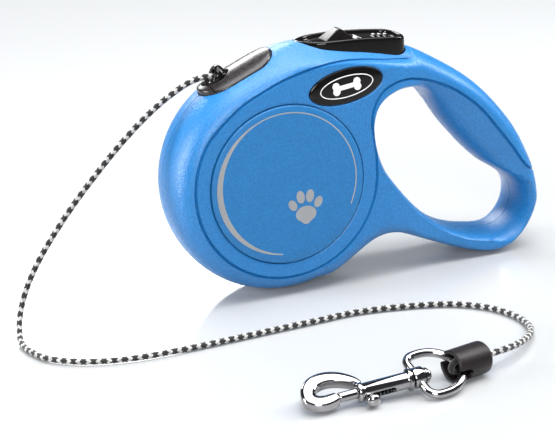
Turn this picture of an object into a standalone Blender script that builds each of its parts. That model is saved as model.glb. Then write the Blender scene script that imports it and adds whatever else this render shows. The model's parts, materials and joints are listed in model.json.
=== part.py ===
"""Retractable cord leash for a small dog: a two-shell housing with a loop handle, a braked spring reel and a swivel hook.

Metres, +Z up. +X points to the handle, the cord leaves at -X, and the housing stands on Z = 0, centred on X = Y = 0.
Lengths in the tables and constants below are in millimetres, and MM turns them into metres.
"""

import math

import bmesh
import bpy
from mathutils import Matrix, Vector
from mathutils.geometry import delaunay_2d_cdt

MM = 0.001
GAP = 0.3

# Housing, seen from the side: X along, Z up, and the depth measured from the parting plane at Y = 0.
REEL_X = -27.5
REEL_Z = 35.0
HOUSING_R = 35.0
HOUSING_DEPTH = 13.2
HANDLE_DEPTH = 10.6
SHOULDER = 5.0
CAVITY_R = 28.8
CAVITY_DEPTH = 10.6
BOSS_R = 4.5
BOSS_DEPTH = 8.5

# Round cover discs and oval badges, set into the shells' faces.
DISC_R = 24.1
DISC_FACE = 13.5
DISC_SEAT = 12.0
BADGE_X = -7.8
BADGE_Z = 62.3
BADGE_HALF_LENGTH = 11.8
BADGE_HALF_HEIGHT = 5.0
BADGE_TILT = math.radians(8.0)
BADGE_SEAT = 12.2

# Reel, turning on the axle.
AXLE_R = 2.0
AXLE_HALF = 10.2
BORE_R = 2.1
DRUM_IN = 12.5
DRUM_OUT = 14.0
TOOTH_COUNT = 12
TOOTH_TIP_R = 27.3
TOOTH_ROOT_R = 24.8
TOOTH_PHASE = math.radians(10.4)
WOUND_R = 23.2

# Brake button, in its pocket on top of the housing.
BUTTON_FRONT = -18.5
BUTTON_REAR = 15.8
BUTTON_FOOT = 67.2
BAY_FLOOR = 62.5
BAY_HALF_WIDTH = 8.9

# Cord nozzle, on the slope in front of the button.
NOZZLE_X = -37.8
NOZZLE_Z = 68.22
NOZZLE_SLOPE = math.radians(23.5)
NOZZLE_HALF_LENGTH = 12.4
NOZZLE_HALF_WIDTH = 7.7
CORD_R = 0.95
CORD_EXIT = (-44.6, 0.0, 67.75)
CORD_RISE = math.radians(159.0)

# Cord route from the nozzle: down to the floor, round in front of the housing and back to the end sleeve.
CORD_ROUTE = [
    (-38.4, 0.0, 65.35), (-44.6, 0.0, 67.6), (-51.0, 0.0, 66.9), (-57.3, 0.0, 63.9), (-63.3, 0.0, 60.0),
    (-69.4, 0.0, 55.2), (-75.6, 0.0, 49.6), (-81.8, 0.0, 43.4), (-88.2, 0.0, 36.6), (-94.7, -0.2, 29.0),
    (-100.9, -0.8, 21.0), (-105.6, -2.0, 13.6), (-108.8, -4.4, 7.0), (-110.4, -8.6, 2.6), (-110.8, -14.0, 1.05),
    (-109.4, -21.0, 1.05), (-105.9, -28.0, 1.05), (-97.0, -34.6, 1.05), (-85.4, -38.2, 1.05), (-70.0, -38.9, 1.05),
    (-57.0, -38.4, 1.05), (-41.7, -37.6, 1.05), (-30.0, -37.1, 1.05), (-18.0, -36.6, 1.05), (-4.4, -38.9, 1.05),
    (9.0, -43.7, 1.05), (17.2, -51.0, 1.05), (20.8, -59.0, 1.05), (21.2, -66.5, 1.2), (18.6, -74.0, 1.9),
    (12.6, -80.9, 3.0), (4.8, -86.1, 4.2), (-4.9, -88.8, 4.6),
]

# Hook end, lying on the floor in front. Each frame has its own X axis along the piece, towards the hook's eye.
SLEEVE_END = (-4.256, -88.682, 4.615)
SLEEVE_YAW = math.radians(193.0)
SLEEVE_R = 4.4
SLEEVE_BORE = 3.5
SLEEVE_LENGTH = 11.3
RING_WIRE = 1.15
RING_YAW = math.radians(186.0)
RING_DIP = math.radians(2.3)
RING_TILT = math.radians(-22.0)
RING_LENGTH = 12.4
RING_HALF_WIDTH = 7.4
HOOK_YAW = math.radians(179.0)
HOOK_DIP = math.radians(3.0)
HOOK_TILT = math.radians(160.0)
BARREL_R = 2.2
BARREL_END = 17.0
BOLT_R = 1.3
BOLT_TIP = 22.0

HOUSING_CURVE = [
    (-26.8, 73.3), (-22.5, 74.6), (-18.0, 75.1), (-10.0, 74.9), (0.0, 73.6), (9.0, 71.7), (18.0, 69.2), (26.4, 64.8),
    (35.5, 59.0), (42.2, 53.4), (47.9, 47.1), (52.9, 40.4), (56.8, 33.1), (59.8, 25.7), (61.1, 18.1), (59.6, 11.4),
    (56.0, 5.6), (50.3, 1.4), (43.0, 0.0), (36.5, 1.2), (29.5, 3.6), (22.0, 6.8), (15.8, 9.5), (11.3, 11.2),
    (7.2, 11.6), (3.6, 10.9), (0.0, 9.2), (-3.9, 6.8), (-8.3, 4.0), (-12.8, 1.9),
]
HOLE_CURVE = [
    (14.8, 57.8), (10.8, 57.7), (7.0, 56.4), (4.2, 54.0), (2.8, 50.8), (2.3, 47.2), (2.6, 43.2), (3.7, 38.6),
    (5.5, 34.2), (8.8, 29.4), (12.6, 24.5), (17.0, 19.6), (21.6, 15.4), (26.6, 11.9), (32.0, 9.2), (38.0, 7.3),
    (44.0, 6.6), (49.2, 7.8), (52.8, 11.2), (54.2, 16.2), (52.8, 21.3), (48.7, 25.1), (43.0, 29.0), (37.7, 33.8),
    (32.8, 39.3), (28.4, 44.8), (25.1, 50.0), (22.2, 54.4), (18.8, 57.0),
]
GRIP_CAVITY = [
    (19.0, 65.2), (26.0, 61.4), (34.0, 56.0), (42.0, 49.2), (48.8, 41.6), (53.6, 33.0), (56.6, 24.6),
    (52.4, 25.8), (46.6, 31.6), (40.6, 38.0), (34.6, 45.4), (29.4, 51.8), (23.4, 57.2),
]
SCREW_SPOTS = [(7.0, 18.6), (17.6, 62.2), (56.9, 19.0)]


def clear_scene():
    for old in list(bpy.data.objects):
        bpy.data.objects.remove(old, do_unlink=True)


def material(name, colour, roughness, metallic=0.0, coat=0.0):
    made = bpy.data.materials.new(name)
    made.use_nodes = True
    shader = made.node_tree.nodes["Principled BSDF"]
    shader.inputs["Base Color"].default_value = (*colour, 1.0)
    shader.inputs["Roughness"].default_value = roughness
    shader.inputs["Metallic"].default_value = metallic
    shader.inputs["Coat Weight"].default_value = coat
    made.diffuse_color = (*colour, 1.0)
    return made


def frame_at(point, yaw=0.0, dip=0.0, roll=0.0):
    """A frame at a point in millimetres: X turned by yaw about Z, tipped down by dip, then rolled about itself."""
    turn = Matrix.Rotation(yaw, 4, "Z") @ Matrix.Rotation(dip, 4, "Y") @ Matrix.Rotation(roll, 4, "X")
    return Matrix.Translation(Vector(point) * MM) @ turn


def along_y(x, z):
    """A frame whose Z axis points along world -Y, from a point of the side view."""
    return Matrix.Translation(Vector((x, 0.0, z)) * MM) @ Matrix.Rotation(math.radians(90.0), 4, "X")


def solid(name, points, faces, finish, frame=None, parent=None):
    """One closed mesh object from points in millimetres, with its origin at its frame."""
    mesh = bpy.data.meshes.new(name)
    mesh.from_pydata([Vector(point) * MM for point in points], [], faces)
    work = bmesh.new()
    work.from_mesh(mesh)
    bmesh.ops.recalc_face_normals(work, faces=work.faces)
    work.to_mesh(mesh)
    work.free()
    mesh.materials.append(finish)
    mesh.shade_smooth()
    mesh.set_sharp_from_angle(angle=math.radians(35.0))
    made = bpy.data.objects.new(name, mesh)
    bpy.context.scene.collection.objects.link(made)
    if frame is not None:
        made.matrix_world = frame
    if parent is not None:
        bpy.context.view_layer.update()
        made.parent = parent
        made.matrix_parent_inverse = parent.matrix_world.inverted()
    return made


def turned(name, profile, finish, frame=None, parent=None, sides=24, phase=0.0):
    """A profile of (radius, height) points, closed on itself or on the axis, turned about the frame's Z axis."""
    points = []
    rings = []
    for radius, height in profile:
        if radius == 0.0:
            rings.append([len(points)] * sides)
            points.append((0.0, 0.0, height))
            continue
        rings.append(list(range(len(points), len(points) + sides)))
        for step in range(sides):
            angle = phase + math.tau * step / sides
            points.append((radius * math.cos(angle), radius * math.sin(angle), height))
    faces = []
    for here, there in zip(rings, rings[1:] + rings[:1]):
        if here[0] == here[1] and there[0] == there[1]:
            continue
        for step in range(sides):
            after = (step + 1) % sides
            corners = [here[step], here[after], there[after], there[step]]
            faces.append(list(dict.fromkeys(corners)))
    return solid(name, points, faces, finish, frame, parent)


def prism(name, outline, low, high, finish, frame=None, parent=None):
    """An outline of (x, y) points, extruded along the frame's Z axis."""
    count = len(outline)
    points = [(x, y, low) for x, y in outline] + [(x, y, high) for x, y in outline]
    faces = [list(range(count)), list(range(count, 2 * count))]
    for step in range(count):
        after = (step + 1) % count
        faces.append([step, after, count + after, count + step])
    return solid(name, points, faces, finish, frame, parent)


def swept(name, path, radius, finish, frame=None, parent=None, sides=8, closed=False):
    """A round bar along a path of points in the frame, closed on itself or capped at its ends."""
    path = [Vector(point) for point in path]
    count = len(path)
    normal = None
    points = []
    for step, point in enumerate(path):
        if closed:
            ahead = path[(step + 1) % count] - path[step - 1]
        else:
            ahead = path[min(step + 1, count - 1)] - path[max(step - 1, 0)]
        ahead.normalize()
        if normal is None:
            normal = ahead.orthogonal().normalized()
        normal = (normal - ahead * normal.dot(ahead)).normalized()
        across = ahead.cross(normal)
        for side in range(sides):
            angle = math.tau * side / sides
            points.append(point + radius * (normal * math.cos(angle) + across * math.sin(angle)))
    shift = 0
    if closed:
        first = points[0] - path[0]
        last_ahead = (path[1] - path[-1]).normalized()
        carried = (normal - last_ahead * normal.dot(last_ahead)).normalized()
        twist = math.atan2(last_ahead.dot(carried.cross(first)), carried.dot(first))
        shift = round(twist / math.tau * sides)
    faces = []
    for step in range(count if closed else count - 1):
        after = (step + 1) % count
        offset = -shift if closed and after == 0 else 0
        for side in range(sides):
            beside = (side + 1) % sides
            faces.append([
                step * sides + side, step * sides + beside,
                after * sides + (beside + offset) % sides, after * sides + (side + offset) % sides,
            ])
    if not closed:
        faces.append(list(range(sides)))
        faces.append(list(range((count - 1) * sides, count * sides)))
    return solid(name, points, faces, finish, frame, parent)


def hide(cutter):
    cutter.hide_render = True
    cutter.display_type = "WIRE"
    return cutter


def combine(target, other, operation):
    made = target.modifiers.new(f"{operation.lower()}_{other.name}", "BOOLEAN")
    made.operation = operation
    made.solver = "EXACT"
    made.object = other
    hide(other)


def smooth_step(value):
    value = min(1.0, max(0.0, value))
    return value * value * (3.0 - 2.0 * value)


def smooth_curve(knots, spacing, closed):
    """Points at about the given spacing on a Catmull-Rom curve through the knots."""
    knots = [Vector(knot) for knot in knots]
    count = len(knots)
    points = []
    for step in range(count if closed else count - 1):
        if closed:
            before, start, end, after = (knots[(step + shift) % count] for shift in (-1, 0, 1, 2))
        else:
            start, end = knots[step], knots[step + 1]
            before = knots[step - 1] if step else start * 2 - end
            after = knots[step + 2] if step + 2 < count else end * 2 - start
        pieces = max(1, round((end - start).length / spacing))
        for piece in range(pieces):
            t = piece / pieces
            points.append(0.5 * (
                2 * start + (end - before) * t + (2 * before - 5 * start + 4 * end - after) * t * t
                + (3 * start - before - 3 * end + after) * t ** 3
            ))
    if not closed:
        points.append(knots[-1])
    return points


def housing_outline():
    """The side view's outer line at the parting plane, clockwise from the foot of the round housing."""
    arc = [math.radians(-75.0 - 6.25 * step) for step in range(28)]
    round_part = [Vector((REEL_X + HOUSING_R * math.cos(a), REEL_Z + HOUSING_R * math.sin(a))) for a in arc]
    knots = [*round_part[-2:], *(Vector(point) for point in HOUSING_CURVE), *round_part[:2]]
    return round_part[:-1] + smooth_curve(knots, 5.2, False)[1:-2]


def inset_line(line, distances):
    """Each point of a closed clockwise line, moved to its right, into the area, by its own distance."""
    moved = []
    for step, point in enumerate(line):
        before = (point - line[step - 1]).normalized()
        after = (line[(step + 1) % len(line)] - point).normalized()
        ahead = (before + after).normalized()
        moved.append(point + Vector((ahead.y, -ahead.x)) * distances[step])
    return moved


def face_depth(x):
    """How far a shell's face stands from the parting plane: the handle is thinner than the housing."""
    return HOUSING_DEPTH - (HOUSING_DEPTH - HANDLE_DEPTH) * smooth_step((x - 6.0) / 20.0)


def shoulder_width(point):
    """The round shoulder is widest on the housing and narrowest on the slim lower arm of the handle."""
    upper = smooth_step((point.y - 14.0) / 12.0)
    handle = 0.30 + 0.42 * upper + 0.40 * (1.0 - upper) * smooth_step((point.x - 46.0) / 8.0)
    return SHOULDER * (1.0 - (1.0 - handle) * smooth_step(point.x / 20.0))


def oval(x, z, half_length, half_height, tilt, count):
    turn = Matrix.Rotation(tilt, 2)
    return [
        Vector((x, z)) + turn @ Vector((half_length * math.cos(a), half_height * math.sin(a)))
        for a in (math.tau * step / count for step in range(count))
    ]


def shell(name, side, finish):
    """One half of the housing and handle: side -1 is the front half and +1 the rear half."""
    outer = housing_outline()
    hole = [Vector(point) for point in smooth_curve(HOLE_CURVE, 5.5, True)]
    points = []

    def ring(line, depths):
        start = len(points)
        points.extend((p.x, side * depth, p.y) for p, depth in zip(line, depths))
        return list(range(start, len(points)))

    def strip(first, second):
        count = len(first)
        return [[first[i], first[(i + 1) % count], second[(i + 1) % count], second[i]] for i in range(count)]

    faces = []
    outer_rings = []
    for share in (0.0, 0.35, 0.62, 0.84, 1.0):
        line = inset_line(outer, [shoulder_width(p) * share ** 1.7 for p in outer])
        depths = [max(GAP / 2, face_depth(p.x) * share) for p in outer]
        outer_rings.append(ring(line, depths))
    hole_rings = []
    for share, inset in ((0.0, 0.0), (0.86, 0.1), (1.0, 1.2)):
        line = inset_line(hole, [inset] * len(hole))
        depths = [max(GAP / 2, face_depth(p.x) * share) for p in hole]
        hole_rings.append(ring(line, depths))
    for rings in (outer_rings, hole_rings):
        for here, there in zip(rings, rings[1:]):
            faces += strip(here, there)

    recesses = []
    disc = oval(REEL_X, REEL_Z, DISC_R + GAP, DISC_R + GAP, 0.0, 48)
    badge = oval(BADGE_X, BADGE_Z, BADGE_HALF_LENGTH + GAP, BADGE_HALF_HEIGHT + GAP, BADGE_TILT, 28)
    for line, seat in ((disc, DISC_SEAT), (badge, BADGE_SEAT)):
        mouth = ring(line, [face_depth(p.x) for p in line])
        floor = ring(line, [seat] * len(line))
        faces += strip(mouth, floor)
        faces.append(floor)
        recesses.append(mouth)

    # The flat face lies between the shoulder, the handle's hole and the two recesses.
    loops = [outer_rings[-1], hole_rings[-1], *recesses]
    used = [index for loop in loops for index in loop]
    flat = [Vector((points[index][0], points[index][2])) for index in used]
    edges = []
    start = 0
    for loop in loops:
        edges += [(start + i, start + (i + 1) % len(loop)) for i in range(len(loop))]
        start += len(loop)
    extra = [Vector((x, z)) for x, z in ((9.0, 64.4), (17.0, 65.0), (2.0, 24.0), (-2.0, 14.0))]
    found, _, triangles, sources, _, _ = delaunay_2d_cdt(flat + extra, edges, [], 0, 1e-6)
    index_of = []
    for spot, source in zip(found, sources):
        if source and source[0] < len(used):
            index_of.append(used[source[0]])
        else:
            index_of.append(len(points))
            points.append((spot.x, side * face_depth(spot.x), spot.y))
    rims = [[Vector((points[i][0], points[i][2])) for i in loop] for loop in loops]
    for triangle in triangles:
        middle = sum((found[i] for i in triangle), Vector((0.0, 0.0))) / 3.0
        inside = [contains(rim, middle) for rim in rims]
        if inside[0] and not any(inside[1:]):
            faces.append([index_of[i] for i in triangle])

    # The parting face joins the outer line to the hole's line, and the cavities are cut from it.
    parting = outer_rings[0] + hole_rings[0]
    flat = [Vector((points[index][0], points[index][2])) for index in parting]
    edges = [(i, (i + 1) % len(outer)) for i in range(len(outer))]
    edges += [(len(outer) + i, len(outer) + (i + 1) % len(hole)) for i in range(len(hole))]
    found, _, triangles, sources, _, _ = delaunay_2d_cdt(flat, edges, [], 0, 1e-6)
    for triangle in triangles:
        middle = sum((found[i] for i in triangle), Vector((0.0, 0.0))) / 3.0
        if contains(outer, middle) and not contains(hole, middle):
            faces.append([parting[sources[i][0]] for i in triangle])
    return solid(name, points, faces, finish)


def contains(line, point):
    """Whether a closed line of 2D points goes round the point."""
    inside = False
    for here, there in zip(line, line[1:] + line[:1]):
        if (here.y > point.y) == (there.y > point.y):
            continue
        if point.x < here.x + (there.x - here.x) * (point.y - here.y) / (there.y - here.y):
            inside = not inside
    return inside


def button_outline(grow):
    """The button from above, pointed at the front: (x, y) points, grown outwards by a clearance."""
    knots = [
        (BUTTON_FRONT, 0.0), (-16.8, 3.6), (-12.7, 6.6), (-6.2, 7.9), (1.8, 8.0), (8.8, 8.0), (13.2, 7.4),
        (15.2, 5.0), (BUTTON_REAR, 0.0), (15.2, -5.0), (13.2, -7.4), (8.8, -8.0), (1.8, -8.0), (-6.2, -7.9),
        (-12.7, -6.6), (-16.8, -3.6),
    ]
    line = smooth_curve(knots, 3.0, True)
    return inset_line(line, [-grow] * len(line))


def rim_height(x):
    """The button's rim follows the top of the housing, level at the front and falling towards the handle."""
    return 74.9 - 2.0 * smooth_step((x + 6.0) / 34.0)


def cutters(side, finish):
    """Everything that is cut from one shell."""
    made = []
    tag = "front" if side < 0 else "rear"
    frame = along_y(REEL_X, REEL_Z) if side < 0 else along_y(REEL_X, REEL_Z) @ Matrix.Rotation(math.pi, 4, "X")
    cavity = [(0.0, -1.0), (CAVITY_R, -1.0), (CAVITY_R, CAVITY_DEPTH), (BOSS_R, CAVITY_DEPTH), (BOSS_R, BOSS_DEPTH),
              (0.0, BOSS_DEPTH)]
    made.append(turned(f"cut_{tag}_reel", cavity, finish, frame, sides=48))
    axle_seat = [(0, 8.0), (2.06, 8.0), (2.06, 10.5), (0, 10.5)]
    made.append(turned(f"cut_{tag}_axle", axle_seat, finish, frame, sides=16))
    upright = Matrix.Identity(4)
    pocket = [tuple(p) for p in button_outline(0.35)]
    made.append(prism(f"cut_{tag}_pocket", pocket, 64.0, 82.0, finish, upright))
    bay = [(-17.5, -BAY_HALF_WIDTH), (13.2, -BAY_HALF_WIDTH), (13.2, BAY_HALF_WIDTH), (-17.5, BAY_HALF_WIDTH)]
    made.append(prism(f"cut_{tag}_bay", bay, BAY_FLOOR, 65.5, finish, upright))
    guide = [(-14.0, -8.5), (-10.0, -8.5), (-10.0, 3.8), (-14.0, 3.8)]
    made.append(prism(f"cut_{tag}_pawl_guide", guide, 56.0, 65.0, finish, upright))
    grip = prism(f"cut_{tag}_grip", GRIP_CAVITY, -7.6, 7.6, finish, along_y(0.0, 0.0))
    made.append(grip)
    nozzle = nozzle_outline(GAP)
    made.append(prism(f"cut_{tag}_nozzle", nozzle, -2.4, 6.0, finish, nozzle_frame()))
    neck = [(0, -10.0), (3.9, -10.0), (3.9, 0.0), (0, 0.0)]
    made.append(turned(f"cut_{tag}_neck", neck, finish, nozzle_frame(), sides=16))
    way = [(0, -17.0), (3.4, -17.0), (3.4, 2.0), (0, 2.0)]
    made.append(turned(f"cut_{tag}_cord_way", way, finish, bore_frame(), sides=16))
    for number, (x, z) in enumerate(SCREW_SPOTS):
        spot = along_y(x, z) @ Matrix.Rotation(math.pi, 4, "X")
        depth = face_depth(x)
        if side < 0:
            bore = [(0, -8.6), (1.3, -8.6), (1.3, 1.0), (0, 1.0)]
        else:
            seat = depth - 4.2
            bore = [(0, -1.0), (1.3, -1.0), (1.3, seat), (2.0, seat), (2.0, depth + 1.0), (0, depth + 1.0)]
        made.append(turned(f"cut_{tag}_screw_{number}", bore, finish, spot, sides=12))
    return made


def nozzle_frame():
    return frame_at((NOZZLE_X, 0.0, NOZZLE_Z), 0.0, -NOZZLE_SLOPE)


def nozzle_outline(grow):
    """A long oval with round ends, in the nozzle's own plane."""
    line = []
    reach = NOZZLE_HALF_LENGTH - NOZZLE_HALF_WIDTH
    for centre, first in ((reach, -90.0), (-reach, 90.0)):
        for step in range(9):
            angle = math.radians(first + 22.5 * step)
            radius = NOZZLE_HALF_WIDTH + grow
            line.append((centre + radius * math.cos(angle), radius * math.sin(angle)))
    return line


def bore_frame():
    """Z along the cord where it leaves the nozzle, from inside to outside."""
    lean = Matrix.Rotation(math.radians(90.0) - CORD_RISE, 4, "Y")
    return Matrix.Translation(Vector(CORD_EXIT) * MM) @ lean


def make_nozzle(finish):
    """A domed plate on the shells' slope, with a neck inside them and a slanted bore for the cord."""
    frame = nozzle_frame()
    outline = nozzle_outline(0.0)
    points = []
    rings = []
    for share, height in ((1.0, -2.0), (1.0, 0.7), (0.93, 1.15), (0.6, 1.5)):
        rings.append(list(range(len(points), len(points) + len(outline))))
        points += [(x * share if share > 0.9 else x * (share + 0.12), y * share, height) for x, y in outline]
    faces = [rings[0], rings[-1]]
    for here, there in zip(rings, rings[1:]):
        for step in range(len(outline)):
            after = (step + 1) % len(outline)
            faces.append([here[step], here[after], there[after], there[step]])
    plate = solid("cord_nozzle", points, faces, finish, frame)
    neck = turned("add_nozzle_neck", [(0, -7.0), (3.5, -7.0), (3.5, -1.0), (0, -1.0)], finish, frame, sides=16)
    combine(plate, neck, "UNION")
    profile = [(0, -16.0), (3.05, -16.0), (3.05, -2.9), (3.75, -2.3), (3.75, 5.0), (0, 5.0)]
    seat = turned("cut_nozzle_bore", profile, finish, bore_frame(), sides=20)
    combine(plate, seat, "DIFFERENCE")
    return plate


def make_eyelet(finish):
    """The smooth guide the cord runs out over, flared at its mouth."""
    profile = [
        (1.6, -8.0), (2.75, -8.0), (2.75, -2.6), (3.2, -1.9), (3.45, -1.0), (3.3, -0.2), (2.8, 0.35), (2.2, 0.3),
        (1.75, -0.3), (1.6, -1.2),
    ]
    return turned("nozzle_eyelet", profile, finish, bore_frame(), sides=20)


def make_cover(side, finish):
    """The round disc in a shell's face, with a softened edge."""
    tag = "front" if side < 0 else "rear"
    frame = along_y(REEL_X, REEL_Z) if side < 0 else along_y(REEL_X, REEL_Z) @ Matrix.Rotation(math.pi, 4, "X")
    low = DISC_SEAT + 0.15
    profile = [(0, low), (DISC_R, low), (DISC_R, DISC_FACE - 0.4), (DISC_R - 0.5, DISC_FACE), (0, DISC_FACE)]
    return turned(f"{tag}_cover_disc", profile, finish, frame, sides=48)


def make_badge(side, finish):
    """The domed oval beside the disc."""
    tag = "front" if side < 0 else "rear"
    count = 28
    points = []
    rings = []
    for share, depth in ((1.0, BADGE_SEAT + 0.2), (1.0, 13.25), (0.93, 13.42), (0.55, 13.48)):
        line = oval(BADGE_X, BADGE_Z, BADGE_HALF_LENGTH * share, BADGE_HALF_HEIGHT * share, BADGE_TILT, count)
        rings.append(list(range(len(points), len(points) + count)))
        points += [(p.x, side * depth, p.y) for p in line]
    faces = [rings[0], rings[-1]]
    for here, there in zip(rings, rings[1:]):
        for step in range(count):
            after = (step + 1) % count
            faces.append([here[step], here[after], there[after], there[step]])
    return solid(f"{tag}_badge", points, faces, finish)


def make_reel(drum_finish, metal, parent):
    """The drum with its toothed flange in one piece, and the pieces that turn with it."""
    frame = along_y(REEL_X, REEL_Z)
    profile = [
        (BORE_R, 8.0), (TOOTH_ROOT_R, 8.0), (TOOTH_ROOT_R, 6.4), (DRUM_OUT, 6.4), (DRUM_OUT, -6.7), (DRUM_IN, -6.7),
        (DRUM_IN, 6.4), (4.0, 6.4), (4.0, 4.4), (BORE_R, 4.4),
    ]
    reel = turned("reel_drum", profile, drum_finish, frame, parent, sides=48, phase=TOOTH_PHASE)
    for number in range(TOOTH_COUNT):
        middle = TOOTH_PHASE + math.tau * number / TOOTH_COUNT
        tooth = [
            (radius * math.cos(middle + math.radians(spread)), radius * math.sin(middle + math.radians(spread)))
            for radius, spread in ((23.6, -7.0), (25.6, -6.4), (TOOTH_TIP_R, -4.6), (TOOTH_TIP_R, 4.6), (25.6, 6.4),
                                   (23.6, 7.0))
        ]
        combine(reel, prism(f"add_tooth_{number}", tooth, 6.6, 7.8, drum_finish, frame), "UNION")
    flange = [(DRUM_IN, -7.0), (26.0, -7.0), (26.0, -8.2), (DRUM_IN, -8.2)]
    turned("reel_rear_flange", flange, drum_finish, frame, parent, sides=40)
    cover = [(2.4, -7.0), (DRUM_IN - GAP, -7.0), (DRUM_IN - GAP, -7.8), (2.4, -7.8)]
    turned("spring_cover", cover, metal, frame, parent, sides=32)
    return reel


def make_wound_cord(finish, parent):
    profile = [
        (DRUM_OUT + GAP, 6.0), (WOUND_R - 0.8, 6.0), (WOUND_R, 5.2), (WOUND_R, -5.8), (WOUND_R - 0.8, -6.6),
        (DRUM_OUT + GAP, -6.6),
    ]
    return turned("wound_cord", profile, finish, along_y(REEL_X, REEL_Z), parent, sides=40)


def make_power_spring(finish):
    """A flat steel strip wound in a spiral from the axle to the drum's wall."""
    turns = 5.0
    steps = int(turns * 14)
    points = []
    faces = []
    for step in range(steps + 1):
        angle = math.tau * turns * step / steps
        middle = 3.0 + (11.6 - 3.0) * step / steps
        for radius, depth in ((middle - 0.2, 3.8), (middle + 0.2, 3.8), (middle + 0.2, -6.2), (middle - 0.2, -6.2)):
            points.append((radius * math.cos(angle), radius * math.sin(angle), depth))
        if step:
            here, before = step * 4, step * 4 - 4
            faces += [[before + i, before + (i + 1) % 4, here + (i + 1) % 4, here + i] for i in range(4)]
    faces += [[0, 1, 2, 3], [steps * 4 + i for i in range(4)]]
    return solid("power_spring", points, faces, finish, along_y(REEL_X, REEL_Z))


def cross_strips(loop):
    """Faces straight across a loop that starts at its front tip and is the same on both sides."""
    count = len(loop)
    half = count // 2
    strips = [[loop[0], loop[1], loop[-1]], [loop[half - 1], loop[half], loop[half + 1]]]
    strips += [[loop[i], loop[i + 1], loop[count - i - 1], loop[count - i]] for i in range(1, half - 1)]
    return strips


def make_button(finish, parent):
    """A boat-shaped tray with a raised rim and a skirt, open underneath."""
    points = []
    rings = []

    def ring(grow, height):
        line = button_outline(grow)
        rings.append(list(range(len(points), len(points) + len(line))))
        points.extend((p.x, p.y, height(p.x)) for p in line)

    ring(-1.7, lambda x: BUTTON_FOOT)
    ring(0.0, lambda x: BUTTON_FOOT)
    ring(0.0, lambda x: rim_height(x) - 0.35)
    ring(-0.35, rim_height)
    ring(-0.95, rim_height)
    ring(-1.5, lambda x: rim_height(x) - 1.3)
    outside = list(rings)
    ring(-1.7, lambda x: rim_height(x) - 2.9)
    faces = cross_strips(outside[-1]) + cross_strips(rings[-1])
    for here, there in [*zip(outside, outside[1:]), (rings[-1], outside[0])]:
        for step in range(len(here)):
            after = (step + 1) % len(here)
            faces.append([here[step], here[after], there[after], there[step]])
    button = solid("brake_button", points, faces, finish, None, parent)
    slot = prism("cut_lock_slot", [(-9.4, -1.4), (1.0, -1.4), (1.0, 1.4), (-9.4, 1.4)], 68.0, 76.0, finish)
    combine(button, slot, "DIFFERENCE")
    return button


def make_lock(finish, parent):
    """The thumb ramp that slides forward on the tray, held by a neck and a foot through the tray's slot."""
    ramp = [(-9.6, 73.9), (-0.4, 73.9), (-0.4, 74.3), (-4.0, 77.3), (-5.1, 77.3), (-9.6, 74.5)]
    side_on = along_y(0.0, 0.0)
    lock = prism("lock_slider", ramp, -3.4, 3.4, finish, side_on, parent)
    neck = [(-5.6, 71.0), (-1.9, 71.0), (-1.9, 74.1), (-5.6, 74.1)]
    combine(lock, prism("add_lock_neck", neck, -1.1, 1.1, finish, side_on), "UNION")
    foot = [(-5.6, 70.3), (-1.9, 70.3), (-1.9, 71.4), (-5.6, 71.4)]
    combine(lock, prism("add_lock_foot", foot, -2.6, 2.6, finish, side_on), "UNION")
    return lock


def make_pawl(finish, parent):
    """The tooth under the button that drops between the teeth of the reel's front flange."""
    shape = [
        (0.6, 71.6), (3.7, 71.6), (3.7, 65.5), (7.9, 65.5), (7.9, 59.2), (6.6, 59.2), (5.4, 62.6), (5.4, 64.0),
        (0.6, 64.0),
    ]
    frame = Matrix.Translation(Vector((-12.0, 0.0, 0.0)) * MM) @ Matrix.Rotation(math.radians(90.0), 4, "Z")
    frame = frame @ Matrix.Rotation(math.radians(90.0), 4, "X")
    outline = [(-y, z) for y, z in shape]
    return prism("brake_pawl", outline, -1.0, 1.0, finish, frame, parent)


def coil(radius, length, turns, count):
    return [
        (radius * math.cos(math.tau * turns * i / count), radius * math.sin(math.tau * turns * i / count),
         length * i / count)
        for i in range(count + 1)
    ]


def make_button_spring(finish):
    foot = frame_at((7.0, 0.0, BAY_FLOOR + 0.7))
    return swept("button_spring", coil(2.6, 5.8, 4.0, 48), 0.3, finish, foot, sides=5)


def make_screws(finish):
    """Three screws that close the shells, entering from the rear face."""
    for number, (x, z) in enumerate(SCREW_SPOTS):
        seat = face_depth(x) - 4.2 + GAP
        profile = [(0, -7.8), (0.9, -7.8), (0.9, seat), (1.65, seat), (1.65, seat + 1.4), (0, seat + 1.4)]
        spot = along_y(x, z) @ Matrix.Rotation(math.pi, 4, "X")
        turned(f"housing_screw_{number + 1}", profile, finish, spot, sides=12)


def make_cord(finish):
    """The free cord: a tube on a smooth curve through the route's points."""
    line = smooth_curve(CORD_ROUTE, 5.4, False)
    data = bpy.data.curves.new("cord", "CURVE")
    data.dimensions = "3D"
    data.bevel_depth = CORD_R * MM
    data.bevel_resolution = 2
    data.use_fill_caps = True
    spline = data.splines.new("POLY")
    spline.points.add(len(line) - 1)
    for point, spot in zip(spline.points, line):
        point.co = (*(Vector(spot) * MM), 1.0)
    data.materials.append(finish)
    made = bpy.data.objects.new("cord", data)
    bpy.context.scene.collection.objects.link(made)
    return made


def make_cord_feed(finish):
    """The straight run of cord inside the housing, from the winding to the nozzle."""
    reach = WOUND_R + GAP + CORD_R
    lean = math.radians(21.0)
    start = Vector((REEL_X + reach * math.sin(lean), 0.0, REEL_Z + reach * math.cos(lean)))
    end = Vector(CORD_ROUTE[0]) + (Vector(CORD_ROUTE[0]) - Vector(CORD_ROUTE[1])).normalized() * GAP
    return swept("cord_feed", [start, end], CORD_R, finish, sides=8)


def sleeve_frame():
    """At the closed end of the sleeve, X towards the hook."""
    return frame_at(SLEEVE_END, SLEEVE_YAW, math.radians(-0.5))


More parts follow.
